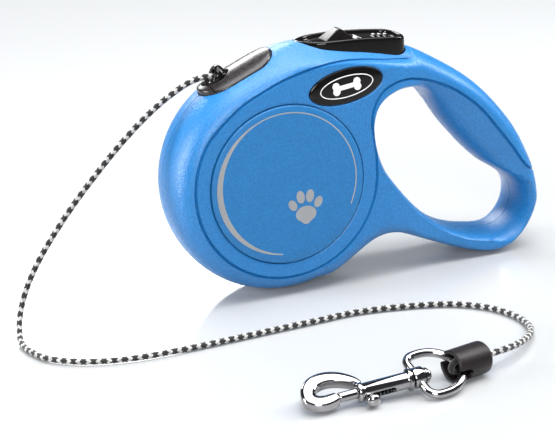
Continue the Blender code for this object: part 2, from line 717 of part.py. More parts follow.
def make_sleeve(finish):
    """The stiff tube over the stitched cord end, open towards the ring and notched where the ring's wire crosses."""
    frame = sleeve_frame() @ Matrix.Rotation(math.radians(90.0), 4, "Y")
    profile = [
        (1.6, 0.0), (SLEEVE_R - 0.7, 0.0), (SLEEVE_R, 0.8), (SLEEVE_R, SLEEVE_LENGTH), (SLEEVE_BORE, SLEEVE_LENGTH),
        (SLEEVE_BORE, 1.8), (1.6, 1.8),
    ]
    sleeve = turned("cord_end_sleeve", profile, finish, frame, sides=24)
    low = ring_middle_from_sleeve().x - 1.75
    high = SLEEVE_LENGTH + 2.0
    notch = [(low, -1.75), (high, -1.75), (high, 1.75), (low, 1.75)]
    across = sleeve_frame() @ Matrix.Rotation(RING_TILT, 4, "X") @ Matrix.Rotation(math.radians(90.0), 4, "X")
    combine(sleeve, prism("cut_sleeve_notch", notch, -6.0, 6.0, finish, across), "DIFFERENCE")
    return sleeve


def ring_middle_from_sleeve():
    """Where the ring's wire crosses the sleeve's axis, in the sleeve's frame."""
    return Vector((SLEEVE_LENGTH - 2.4, 0.0, 0.0))


def ring_frame():
    """At the ring's wire inside the sleeve, X towards the hook and Y across the ring."""
    spot = sleeve_frame() @ (ring_middle_from_sleeve() * MM)
    return frame_at(spot / MM, RING_YAW, RING_DIP, RING_TILT)


def hook_frame():
    """At the middle of the ring's straight bar, X along the hook towards its eye."""
    spot = ring_frame() @ (Vector((RING_LENGTH, 0.0, 0.0)) * MM)
    return frame_at(spot / MM, HOOK_YAW, HOOK_DIP, HOOK_TILT)


def make_cord_loop(finish):
    """The cord's end, turned back round the ring's wire inside the sleeve."""
    reach = RING_WIRE + 0.2 + 0.85
    turn = []
    middle = ring_middle_from_sleeve().x
    for step in range(9):
        angle = math.radians(-90.0 + 22.5 * step)
        turn.append((middle + reach * math.cos(angle), 0.0, reach * math.sin(angle)))
    path = [(3.0, 0.0, -1.1), (6.4, 0.0, -1.9), *turn, (6.4, 0.0, 1.9), (3.0, 0.0, 1.1)]
    frame = sleeve_frame() @ Matrix.Rotation(RING_TILT, 4, "X")
    return swept("cord_loop", path, 0.85, finish, frame, sides=8)


def make_ring(finish, parent):
    """The D ring: a straight bar with a swivel boss, and a bow through the cord's loop."""
    bow = []
    for step in range(13):
        angle = math.radians(90.0 + 15.0 * step)
        bow.append((8.0 + 8.0 * math.cos(angle), RING_HALF_WIDTH * math.sin(angle), 0.0))
    corner = [(11.2, -RING_HALF_WIDTH + 0.5, 0.0), (RING_LENGTH, -RING_HALF_WIDTH + 2.0, 0.0)]
    bar = [(RING_LENGTH, -2.6, 0.0), (RING_LENGTH, 2.6, 0.0)]
    mirrored = [(x, -y, z) for x, y, z in reversed(corner)]
    loop = [*bow, *corner, *bar, *mirrored]
    ring = swept("swivel_ring", loop, RING_WIRE, finish, ring_frame(), parent, closed=True)
    to_hook = hook_frame() @ Matrix.Rotation(math.radians(90.0), 4, "Y")
    boss = turned("add_ring_boss", [(0, -1.5), (2.7, -1.5), (2.7, 1.5), (0, 1.5)], finish, to_hook, sides=20)
    combine(ring, boss, "UNION")
    bore = turned("cut_ring_bore", [(0, -4.0), (1.35, -4.0), (1.35, 4.0), (0, 4.0)], finish, to_hook, sides=20)
    combine(ring, bore, "DIFFERENCE")
    return ring


def make_rivet(finish, parent):
    """The swivel pin: a domed head inside the ring, a shank through its bar and a nose in the barrel."""
    frame = hook_frame() @ Matrix.Rotation(math.radians(90.0), 4, "Y")
    profile = [
        (0, -3.6), (1.1, -3.5), (1.9, -3.0), (2.1, -2.4), (2.1, -1.8), (1.2, -1.8), (1.2, 3.6), (0, 3.6),
    ]
    return turned("swivel_rivet", profile, finish, frame, parent, sides=16)


def make_hook_body(finish, parent):
    """Collar, slotted barrel and eye, one casting. The eye is open where the bolt closes it."""
    frame = hook_frame()
    lathe = frame @ Matrix.Rotation(math.radians(90.0), 4, "Y")
    barrel = [
        (1.5, 1.8), (2.9, 1.8), (2.9, 3.0), (BARREL_R, 3.4), (BARREL_R, BARREL_END - 1.6), (2.45, BARREL_END - 1.4),
        (2.45, BARREL_END), (BOLT_R + 0.15, BARREL_END), (BOLT_R + 0.15, 5.0), (1.5, 4.0),
    ]
    body = turned("hook_body", barrel, finish, lathe, parent, sides=20)
    middle = [
        (15.2, 2.6), (17.2, 4.9), (20.0, 6.8), (23.4, 7.7), (26.8, 6.9), (29.2, 4.4), (29.8, 1.6), (28.6, -0.7),
        (26.0, -1.2), (BOLT_TIP + 0.4, -0.5),
    ]
    half = [0.9, 1.3, 1.45, 1.45, 1.45, 1.45, 1.45, 1.5, 1.5, 1.35]
    line = smooth_curve([(x, y, w) for (x, y), w in zip(middle, half)], 2.0, False)
    left, right = [], []
    for step, spot in enumerate(line):
        ahead = line[min(step + 1, len(line) - 1)] - line[max(step - 1, 0)]
        across = Vector((-ahead.y, ahead.x)).normalized()
        left.append((spot.x + across.x * spot.z, spot.y + across.y * spot.z))
        right.append((spot.x - across.x * spot.z, spot.y - across.y * spot.z))
    points = []
    rows = []
    for side_line, height, squeeze in ((left, -1.0, 0.0), (left, 1.0, 0.0), (left, 1.7, 0.5), (right, 1.7, 0.5),
                                       (right, 1.0, 0.0), (right, -1.0, 0.0), (right, -1.7, 0.5), (left, -1.7, 0.5)):
        other = right if side_line is left else left
        row = []
        for here, there in zip(side_line, other):
            row.append(len(points))
            x = here[0] + (there[0] - here[0]) * squeeze * 0.4
            y = here[1] + (there[1] - here[1]) * squeeze * 0.4
            points.append((x, y, height))
        rows.append(row)
    faces = []
    for here, there in zip(rows, rows[1:] + rows[:1]):
        faces += [[here[i], here[i + 1], there[i + 1], there[i]] for i in range(len(line) - 1)]
    faces += [[row[0] for row in rows], [row[-1] for row in rows]]
    combine(body, solid("add_hook_eye", points, faces, finish, frame), "UNION")
    slot = prism("cut_bolt_slot", [(6.8, -5.0), (14.8, -5.0), (14.8, 0.0), (6.8, 0.0)], -0.8, 0.8, finish, frame)
    combine(body, slot, "DIFFERENCE")
    wide = BOLT_R + 0.3
    near_end = BARREL_END - 0.1
    far_end = BOLT_TIP + 0.3
    clear = [(0, near_end), (wide, near_end), (wide, far_end), (0, far_end)]
    combine(body, turned("cut_bolt_path", clear, finish, lathe, sides=20), "DIFFERENCE")
    return body


def make_bolt(finish, parent):
    """The sliding rod that closes the eye."""
    frame = hook_frame() @ Matrix.Rotation(math.radians(90.0), 4, "Y")
    profile = [(0, 12.3), (BOLT_R, 12.3), (BOLT_R, BOLT_TIP - 0.3), (BOLT_R - 0.3, BOLT_TIP), (0, BOLT_TIP)]
    bolt = turned("hook_bolt", profile, finish, frame, parent, sides=16)
    stem = frame_at((13.9, -1.3 - GAP, 0.0)) @ Matrix.Rotation(math.radians(90.0), 4, "X")
    knob = [(0, -0.1), (0.6, -0.1), (0.6, 1.2), (1.5, 1.5), (1.9, 2.3), (1.5, 3.1), (0.8, 3.5), (0, 3.6)]
    turned("bolt_knob", knob, finish, hook_frame() @ stem, parent, sides=14)
    return bolt


def make_bolt_spring(finish, parent):
    frame = hook_frame() @ frame_at((6.0, 0.0, 0.0)) @ Matrix.Rotation(math.radians(90.0), 4, "Y")
    return swept("bolt_spring", coil(0.95, 5.8, 6.0, 48), 0.22, finish, frame, parent, sides=5)


def axis_empty(name, frame):
    """An empty on a joint's axis, which carries the pieces that move together."""
    made = bpy.data.objects.new(name, None)
    bpy.context.scene.collection.objects.link(made)
    made.matrix_world = frame
    bpy.context.view_layer.update()
    return made


def main():
    clear_scene()
    blue = material("shell_blue", (0.045, 0.235, 0.60), 0.42)
    disc_blue = material("disc_blue", (0.040, 0.220, 0.57), 0.36)
    gloss_black = material("gloss_black", (0.012, 0.011, 0.012), 0.12, coat=0.5)
    nozzle_grey = material("nozzle_grey", (0.055, 0.050, 0.050), 0.22, coat=0.4)
    drum_white = material("drum_acetal", (0.72, 0.72, 0.70), 0.45)
    steel = material("spring_steel", (0.42, 0.44, 0.47), 0.3, 1.0)
    chrome = material("chrome", (0.80, 0.80, 0.81), 0.06, 1.0)
    cord_mix = material("braided_cord", (0.20, 0.20, 0.20), 0.75)
    rubber = material("sleeve_rubber", (0.020, 0.018, 0.019), 0.42)

    for side, name in ((-1, "front_shell"), (1, "rear_shell")):
        half = shell(name, side, blue)
        for cutter in cutters(side, blue):
            combine(half, cutter, "DIFFERENCE")
        make_cover(side, disc_blue)
        make_badge(side, gloss_black)
    make_screws(steel)
    make_nozzle(nozzle_grey)
    make_eyelet(gloss_black)

    turned("axle", [(0, -AXLE_HALF), (AXLE_R, -AXLE_HALF), (AXLE_R, AXLE_HALF), (0, AXLE_HALF)], steel,
           along_y(REEL_X, REEL_Z), sides=16)
    make_power_spring(steel)
    reel_axis = axis_empty("reel_axis", along_y(REEL_X, REEL_Z))
    make_reel(drum_white, steel, reel_axis)
    make_wound_cord(cord_mix, reel_axis)

    button_axis = axis_empty("button_axis", frame_at((0.0, 0.0, 72.0)))
    make_button(gloss_black, button_axis)
    make_pawl(steel, button_axis)
    make_lock(gloss_black, axis_empty("lock_axis", frame_at((-5.0, 0.0, 74.0))))
    make_button_spring(steel)

    make_cord_feed(cord_mix)
    make_cord(cord_mix)
    make_sleeve(rubber)
    make_cord_loop(cord_mix)
    make_ring(chrome, axis_empty("ring_axis", ring_frame()))
    hook_axis = axis_empty("hook_axis", hook_frame())
    make_rivet(chrome, hook_axis)
    make_hook_body(chrome, hook_axis)
    make_bolt(chrome, axis_empty("bolt_axis", hook_frame()))
    make_bolt_spring(steel, hook_axis)


main()
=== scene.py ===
"""Visual model of the cord leash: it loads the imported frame, adds the detailed pieces and sets up the studio.

The scene is in metres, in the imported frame. Lengths in the tables and constants below are in millimetres.
"""

import json
import math

import bmesh
import bpy
import numpy as np
from mathutils import Matrix, Vector
from mathutils.geometry import delaunay_2d_cdt

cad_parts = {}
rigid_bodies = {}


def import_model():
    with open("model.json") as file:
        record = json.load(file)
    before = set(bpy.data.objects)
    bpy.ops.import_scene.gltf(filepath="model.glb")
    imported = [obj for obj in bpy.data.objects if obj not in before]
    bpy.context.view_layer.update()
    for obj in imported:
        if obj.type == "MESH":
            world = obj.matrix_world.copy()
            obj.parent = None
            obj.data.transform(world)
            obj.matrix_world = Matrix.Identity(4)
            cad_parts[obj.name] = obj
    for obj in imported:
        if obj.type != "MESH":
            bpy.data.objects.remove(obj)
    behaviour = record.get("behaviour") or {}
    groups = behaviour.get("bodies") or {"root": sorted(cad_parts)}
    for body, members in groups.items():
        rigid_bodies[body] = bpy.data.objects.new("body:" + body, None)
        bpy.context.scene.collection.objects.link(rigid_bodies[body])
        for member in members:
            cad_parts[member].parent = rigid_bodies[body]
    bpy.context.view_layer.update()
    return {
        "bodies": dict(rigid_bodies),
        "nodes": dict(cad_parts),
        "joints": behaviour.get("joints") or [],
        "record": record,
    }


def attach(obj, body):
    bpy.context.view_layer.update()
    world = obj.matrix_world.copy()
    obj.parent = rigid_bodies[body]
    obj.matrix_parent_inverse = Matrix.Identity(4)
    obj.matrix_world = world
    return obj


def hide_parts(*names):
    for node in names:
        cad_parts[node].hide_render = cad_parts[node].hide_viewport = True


MM = 0.001
GAP = 0.3
SIDES = ((-1, "front"), (1, "rear"))
QUARTER_TURN = math.radians(90.0)

# Housing, seen from the side: X along, Z up, and the depth measured from the parting plane at Y = 0.
REEL_X = -27.5
REEL_Z = 35.0
HOUSING_R = 35.0
HOUSING_DEPTH = 13.2
HANDLE_DEPTH = 10.6
SHOULDER = 6.8
HOLE_EDGE = 1.7
CAVITY_R = 28.8
CAVITY_DEPTH = 10.6
DISC_R = 24.1
DISC_SEAT = 12.0
DISC_FACE = 13.5
BADGE_X = -7.8
BADGE_Z = 62.3
BADGE_HALF_LENGTH = 11.8
BADGE_HALF_HEIGHT = 5.0
BADGE_TILT = math.radians(8.0)
BADGE_SEAT = 12.2
GROOVE_R = 28.8
GROOVE_HALF = 0.45
GROOVE_DEPTH = 0.95

# Brake button, nozzle and cord.
BUTTON_FOOT = 67.2
NOZZLE_X = -37.8
NOZZLE_Z = 68.22
NOZZLE_SLOPE = math.radians(23.5)
NOZZLE_HALF_LENGTH = 12.4
NOZZLE_HALF_WIDTH = 7.7
CORD_R = 0.95
CORD_EXIT = (-44.6, 0.0, 67.75)
CORD_RISE = math.radians(159.0)
CORD_ROUTE = [
    (-38.4, 0.0, 65.35), (-44.6, 0.0, 67.6), (-51.0, 0.0, 66.9), (-57.3, 0.0, 63.9), (-63.3, 0.0, 60.0),
    (-69.4, 0.0, 55.2), (-75.6, 0.0, 49.6), (-81.8, 0.0, 43.4), (-88.2, 0.0, 36.6), (-94.7, -0.2, 29.0),
    (-100.9, -0.8, 21.0), (-105.6, -2.0, 13.6), (-108.8, -4.4, 7.0), (-110.4, -8.6, 2.6),
    (-110.8, -14.0, 1.05), (-109.4, -21.0, 1.05), (-105.9, -28.0, 1.05), (-97.0, -34.6, 1.05),
    (-85.4, -38.2, 1.05), (-70.0, -38.9, 1.05), (-57.0, -38.4, 1.05), (-41.7, -37.6, 1.05),
    (-30.0, -37.1, 1.05), (-18.0, -36.6, 1.05), (-4.4, -38.9, 1.05), (9.0, -43.7, 1.05), (17.2, -51.0, 1.05),
    (20.8, -59.0, 1.05), (21.2, -66.5, 1.2), (18.6, -74.0, 1.9), (12.6, -80.9, 3.0), (4.8, -86.1, 4.2),
    (-4.9, -88.8, 4.6),
]

# Hook end, lying on the floor in front.
SLEEVE_END = (-4.256, -88.682, 4.615)
SLEEVE_YAW = math.radians(193.0)
SLEEVE_R = 4.4
SLEEVE_BORE = 3.5
SLEEVE_LENGTH = 11.3
RING_WIRE = 1.15
RING_YAW = math.radians(186.0)
RING_DIP = math.radians(2.3)
RING_TILT = math.radians(-22.0)
RING_LENGTH = 12.4
RING_HALF_WIDTH = 7.4
HOOK_YAW = math.radians(179.0)
HOOK_DIP = math.radians(3.0)
HOOK_TILT = math.radians(160.0)
BARREL_R = 2.2
BARREL_END = 17.0
BOLT_R = 1.3
BOLT_TIP = 22.0

HOUSING_CURVE = [
    (-26.8, 73.3), (-22.5, 74.6), (-18.0, 75.1), (-10.0, 74.9), (0.0, 73.6), (9.0, 71.7), (18.0, 69.2),
    (26.4, 64.8), (35.5, 59.0), (42.2, 53.4), (47.9, 47.1), (52.9, 40.4), (56.8, 33.1), (59.8, 25.7),
    (61.1, 18.1), (59.6, 11.4), (56.0, 5.6), (50.3, 1.4), (43.0, 0.0), (36.5, 1.2), (29.5, 3.6), (22.0, 6.8),
    (15.8, 9.5), (11.3, 11.2), (7.2, 11.6), (3.6, 10.9), (0.0, 9.2), (-3.9, 6.8), (-8.3, 4.0), (-12.8, 1.9),
]
HOLE_CURVE = [
    (14.8, 57.8), (10.8, 57.7), (7.0, 56.4), (4.2, 54.0), (2.8, 50.8), (2.3, 47.2), (2.6, 43.2), (3.7, 38.6),
    (5.5, 34.2), (8.8, 29.4), (12.6, 24.5), (17.0, 19.6), (21.6, 15.4), (26.6, 11.9), (32.0, 9.2),
    (38.0, 7.3), (44.0, 6.6), (49.2, 7.8), (52.8, 11.2), (54.2, 16.2), (52.8, 21.3), (48.7, 25.1),
    (43.0, 29.0), (37.7, 33.8), (32.8, 39.3), (28.4, 44.8), (25.1, 50.0), (22.2, 54.4), (18.8, 57.0),
]
GRIP_CAVITY = [
    (19.0, 65.2), (26.0, 61.4), (34.0, 56.0), (42.0, 49.2), (48.8, 41.6), (53.6, 33.0), (56.6, 24.6),
    (52.4, 25.8), (46.6, 31.6), (40.6, 38.0), (34.6, 45.4), (29.4, 51.8), (23.4, 57.2),
]
# The panel groove: under the button, round the reel, up beside the hand hole and along the grip.
GROOVE_TOP = [
    (16.9, 68.8), (16.3, 67.8), (15.0, 67.2), (13.0, 67.1), (7.1, 67.8), (-2.7, 69.2), (-10.7, 69.6),
    (-18.6, 68.7), (-26.6, 66.7), (-33.9, 63.8), (-40.8, 60.4), (-47.0, 55.7),
]
GROOVE_GRIP = [
    (1.3, 40.0), (0.6, 45.0), (0.2, 50.4), (1.6, 55.7), (5.1, 59.7), (10.7, 61.5), (16.6, 61.0), (24.0, 58.6),
    (30.8, 54.9), (37.6, 49.4), (44.2, 41.6), (49.4, 34.8), (53.0, 29.6), (56.0, 26.6), (58.9, 25.3),
]
SCREW_SPOTS = [(7.0, 18.6), (17.6, 62.2), (56.9, 19.0)]


def frame_at(point, yaw=0.0, dip=0.0, roll=0.0):
    """A frame at a point in millimetres: X turned by yaw, tipped down by dip, then rolled about itself."""
    turn = Matrix.Rotation(yaw, 4, "Z") @ Matrix.Rotation(dip, 4, "Y") @ Matrix.Rotation(roll, 4, "X")
    return Matrix.Translation(Vector(point) * MM) @ turn


def along_y(x, z, side=-1):
    """A frame at a point of the side view whose Z axis points out of the front (-1) or rear (+1) face."""
    frame = frame_at((x, 0.0, z)) @ Matrix.Rotation(QUARTER_TURN, 4, "X")
    return frame if side < 0 else frame @ Matrix.Rotation(math.pi, 4, "X")


def nozzle_frame():
    return frame_at((NOZZLE_X, 0.0, NOZZLE_Z), 0.0, -NOZZLE_SLOPE)


def bore_frame():
    """Z along the cord where it leaves the nozzle, from inside to outside."""
    return frame_at(CORD_EXIT, dip=QUARTER_TURN - CORD_RISE)


def sleeve_frame():
    return frame_at(SLEEVE_END, SLEEVE_YAW, math.radians(-0.5))


def ring_frame():
    spot = sleeve_frame() @ (Vector((SLEEVE_LENGTH - 2.4, 0.0, 0.0)) * MM)
    return frame_at(spot / MM, RING_YAW, RING_DIP, RING_TILT)


def hook_frame():
    spot = ring_frame() @ (Vector((RING_LENGTH, 0.0, 0.0)) * MM)
    return frame_at(spot / MM, HOOK_YAW, HOOK_DIP, HOOK_TILT)


def lathe_frame(frame):
    """A frame whose Z axis is the given frame's X axis."""
    return frame @ Matrix.Rotation(QUARTER_TURN, 4, "Y")


# ---------------------------------------------------------------- mesh helpers


def piece(name, points, faces, finishes, frame=None, slots=None, angle=35.0):
    """One mesh object from points in millimetres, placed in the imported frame's metres."""
    frame = frame or Matrix.Identity(4)
    mesh = bpy.data.meshes.new(name)
    mesh.from_pydata([frame @ (Vector(point) * MM) for point in points], [], faces)
    for finish in finishes:
        mesh.materials.append(finish)
    if slots:
        mesh.polygons.foreach_set("material_index", slots)
    work = bmesh.new()
    work.from_mesh(mesh)
    bmesh.ops.recalc_face_normals(work, faces=work.faces)
    work.to_mesh(mesh)
    work.free()
    mesh.shade_smooth()
    mesh.set_sharp_from_angle(angle=math.radians(angle))
    made = bpy.data.objects.new(name, mesh)
    bpy.context.scene.collection.objects.link(made)
    return made


def turned(name, profile, finish, frame, sides=48):
    """A profile of (radius, height) points, closed on itself or on the axis, turned about the frame's Z."""
    points = []
    rings = []
    for radius, height in profile:
        if radius == 0.0:
            rings.append([len(points)] * sides)
            points.append((0.0, 0.0, height))
            continue
        rings.append(list(range(len(points), len(points) + sides)))
        for step in range(sides):
            turn = math.tau * step / sides
            points.append((radius * math.cos(turn), radius * math.sin(turn), height))
    faces = []
    for here, there in zip(rings, rings[1:] + rings[:1]):
        if here[0] == here[1] and there[0] == there[1]:
            continue
        for step in range(sides):
            after = (step + 1) % sides
            faces.append(list(dict.fromkeys([here[step], here[after], there[after], there[step]])))
    return piece(name, points, faces, [finish], frame)


def rod(radius, low, high):
    """The profile of a plain round rod."""
    return [(0, low), (radius, low), (radius, high), (0, high)]


def tube(inner, outer, low, high):
    return [(inner, low), (outer, low), (outer, high), (inner, high)]


def stacked(name, loops, finish, frame=None):
    """Loops of equally many points, joined one to the next and closed by a face at each end."""
    count = len(loops[0])
    points = [spot for loop in loops for spot in loop]
    faces = [list(range(count)), list(range(len(points) - count, len(points)))]
    for level in range(len(loops) - 1):
        for step in range(count):
            after = (step + 1) % count
            low, high = level * count, level * count + count
            faces.append([low + step, low + after, high + after, high + step])
    return piece(name, points, faces, [finish], frame)


def prism(name, outline, low, high, finish, frame=None):
    loops = [[(x, y, height) for x, y in outline] for height in (low, high)]
    return stacked(name, loops, finish, frame)


def box(left, right, low, high):
    """The outline of a plain rectangle."""
    return [(left, low), (right, low), (right, high), (left, high)]


def swept(name, path, section, finish, frame, closed=False):
    """A section of (across, up) points carried along a path of points in the frame's XY plane."""
    path = [Vector(spot) for spot in path]
    count = len(path)
    sides = len(section(0.0))
    normal = Vector((0.0, 0.0, 1.0))
    points = []
    for step, spot in enumerate(path):
        if closed:
            ahead = (path[(step + 1) % count] - path[step - 1]).normalized()
        else:
            ahead = (path[min(step + 1, count - 1)] - path[max(step - 1, 0)]).normalized()
        normal = (normal - ahead * normal.dot(ahead)).normalized()
        across = ahead.cross(normal)
        points += [spot + across * a + normal * b for a, b in section(step / (count - 1))]
    faces = []
    for step in range(count if closed else count - 1):
        after = (step + 1) % count
        for side in range(sides):
            beside = (side + 1) % sides
            here, there = step * sides, after * sides
            faces.append([here + side, here + beside, there + beside, there + side])
    if not closed:
        faces.append(list(range(sides)))
        faces.append(list(range((count - 1) * sides, count * sides)))
    return piece(name, points, faces, [finish], frame, angle=50.0)


def round_section(radius, sides):
    ring = [
        (radius * math.cos(math.tau * side / sides), radius * math.sin(math.tau * side / sides))
        for side in range(sides)
    ]
    return lambda share: ring


def settle(made):
    """Writes an object's modifiers into its mesh."""
    graph = bpy.context.evaluated_depsgraph_get()
    mesh = bpy.data.meshes.new_from_object(made.evaluated_get(graph))
    made.modifiers.clear()
    made.data = mesh
    return made


def cut(made, cutters):
    """Takes all the cutters away from a closed piece at once."""
    group = bpy.data.collections.new(f"cutters_{made.name}")
    for cutter in cutters:
        bpy.context.scene.collection.objects.unlink(cutter)
        group.objects.link(cutter)
    bpy.context.scene.collection.children.link(group)
    boolean = made.modifiers.new("cut", "BOOLEAN")
    boolean.solver = "EXACT"
    boolean.operation = "DIFFERENCE"
    boolean.operand_type = "COLLECTION"
    boolean.collection = group
    boolean.use_self = False
    settle(made)
    for cutter in cutters:
        bpy.data.objects.remove(cutter, do_unlink=True)
    bpy.data.collections.remove(group)
    made.data.shade_smooth()
    made.data.set_sharp_from_angle(angle=math.radians(32.0))
    return made


def rounded(made, width):
    """Rounds every edge sharper than 30 degrees."""
    bevel = made.modifiers.new("round", "BEVEL")
    bevel.width = width * MM
    bevel.segments = 3
    bevel.limit_method = "ANGLE"
    bevel.angle_limit = math.radians(30.0)
    bevel.harden_normals = True
    return settle(made)


def joined(first, *others):
    """Puts the other objects' faces into the first, as one piece."""
    work = bmesh.new()
    for made in (first, *others):
        for finish in made.data.materials:
            if finish.name not in first.data.materials:
                first.data.materials.append(finish)
    for made in (first, *others):
        before = len(work.faces)
        work.from_mesh(made.data)
        work.faces.ensure_lookup_table()
        names = [finish.name for finish in first.data.materials]
        for face in work.faces[before:]:
            face.material_index = names.index(made.data.materials[face.material_index].name)
    work.to_mesh(first.data)
    work.free()
    for made in others:
        bpy.data.objects.remove(made, do_unlink=True)
    return first


# ---------------------------------------------------------------- lines of the side view


def table(line):
    """A list of points as rows of numbers."""
    return np.array([tuple(spot) for spot in line])


def smooth_step(value):
    value = np.clip(value, 0.0, 1.0)
    return value * value * (3.0 - 2.0 * value)


def smooth_curve(knots, spacing, closed):
    """Points at about the given spacing on a Catmull-Rom curve through the knots."""
    knots = [Vector(knot) for knot in knots]
    count = len(knots)
    points = []
    for step in range(count if closed else count - 1):
        if closed:
            before, start, end, after = (knots[(step + shift) % count] for shift in (-1, 0, 1, 2))
        else:
            start, end = knots[step], knots[step + 1]
            before = knots[step - 1] if step else start * 2 - end
            after = knots[step + 2] if step + 2 < count else end * 2 - start
        pieces = max(1, round((end - start).length / spacing))
        for number in range(pieces):
            t = number / pieces
            points.append(0.5 * (
                2 * start + (end - before) * t + (2 * before - 5 * start + 4 * end - after) * t * t
                + (3 * start - before - 3 * end + after) * t ** 3
            ))
    if not closed:
        points.append(knots[-1])
    return points


def circle(x, z, radius, first, last, count):
    turns = [math.radians(first + (last - first) * step / count) for step in range(count + 1)]
    return [Vector((x + radius * math.cos(turn), z + radius * math.sin(turn))) for turn in turns]


def housing_outline():
    """The outer line at the parting plane, clockwise from the foot of the round housing."""
    round_part = circle(REEL_X, REEL_Z, HOUSING_R, -75.0, -243.75, 140)
    ends = [*round_part[-6::5], *HOUSING_CURVE, *round_part[:6:5]]
    free = smooth_curve(ends, 0.9, False)
    start = min(range(len(free)), key=lambda i: (free[i] - round_part[-1]).length)
    stop = min(range(len(free)), key=lambda i: (free[i] - round_part[0]).length)
    return round_part[:-1] + free[start:stop]


def inset_line(line, distances):
    """Each point of a closed clockwise line, moved to its right by its own distance."""
    moved = []
    for step, point in enumerate(line):
        before = (point - line[step - 1]).normalized()
        after = (line[(step + 1) % len(line)] - point).normalized()
        ahead = (before + after).normalized()
        moved.append(point + Vector((ahead.y, -ahead.x)) * distances[step])
    return moved


def beside(line, distance):
    """An open line, moved to its right."""
    moved = []
    for step, point in enumerate(line):
        ahead = (line[min(step + 1, len(line) - 1)] - line[max(step - 1, 0)]).normalized()
        moved.append(point + Vector((ahead.y, -ahead.x)) * distance)
    return moved


def groove_line():
    top = smooth_curve(GROOVE_TOP, 0.8, False)
    ring = circle(REEL_X, REEL_Z, GROOVE_R, 144.0, 364.0, 180)
    grip = smooth_curve(GROOVE_GRIP, 0.8, False)
    return top + ring + grip


def oval(x, z, half_length, half_height, tilt, count):
    turn = Matrix.Rotation(tilt, 2)
    return [
        Vector((x, z)) + turn @ Vector((half_length * math.cos(a), half_height * math.sin(a)))
        for a in (math.tau * step / count for step in range(count))
    ]


def disc_oval(grow):
    return oval(REEL_X, REEL_Z, DISC_R + grow, DISC_R + grow, 0.0, 120)


def badge_oval(grow):
    return oval(BADGE_X, BADGE_Z, BADGE_HALF_LENGTH + grow, BADGE_HALF_HEIGHT + grow, BADGE_TILT, 72)


def nearest(points, line, closed):
    """Each point's distance from a line, and a number above zero where the point is on the line's left."""
    line = table(line)
    starts = line if closed else line[:-1]
    ends = np.roll(line, -1, axis=0) if closed else line[1:]
    best = np.full(len(points), 1e9)
    side = np.zeros(len(points))
    for start, end in zip(starts, ends):
        along = end - start
        offset = points - start
        share = np.clip(offset @ along / max(along @ along, 1e-12), 0.0, 1.0)
        gap = offset - share[:, None] * along
        distance = np.hypot(gap[:, 0], gap[:, 1])
        closer = distance < best
        best[closer] = distance[closer]
        side[closer] = (along[0] * offset[:, 1] - along[1] * offset[:, 0])[closer]
    return best, side


def contains(line, points):
    """Which of the points a closed line goes round."""
    line = table(line)
    inside = np.zeros(len(points), bool)
    for here, there in zip(line, np.roll(line, -1, axis=0)):
        if here[1] == there[1]:
            continue
        between = (here[1] > points[:, 1]) != (there[1] > points[:, 1])
        crossing = here[0] + (there[0] - here[0]) * (points[:, 1] - here[1]) / (there[1] - here[1])
        inside ^= between & (points[:, 0] < crossing)
    return inside


# ---------------------------------------------------------------- housing


def face_depth(x):
    """How far a shell's face stands from the parting plane: the handle is thinner than the housing."""
    return HOUSING_DEPTH - (HOUSING_DEPTH - HANDLE_DEPTH) * smooth_step((x - 6.0) / 20.0)


def shoulder_width(points):
    """The round shoulder is widest on the housing and narrowest on the slim lower arm of the handle."""
    x, z = points[:, 0], points[:, 1]
    handle = 0.34 + 0.40 * smooth_step((z - 14.0) / 12.0) + 0.25 * smooth_step((x - 46.0) / 12.0)
    return SHOULDER * (1.0 - (1.0 - np.minimum(handle, 0.74)) * smooth_step(x / 20.0))


def beside_button(points, outer):
    """One at the top edge of the housing where the button stands, and zero away from it."""
    x, z = points[:, 0], points[:, 1]
    along = smooth_step((x + 34.0) / 18.0) * (1.0 - smooth_step((x - 10.0) / 9.0))
    return along * smooth_step((z - 60.0) / 6.0) * (1.0 - smooth_step((outer - 2.0) / 4.0))


def quarter_round(share, power=2.1):
    return np.sqrt(1.0 - (1.0 - np.clip(share, 0.0, 1.0)) ** power)


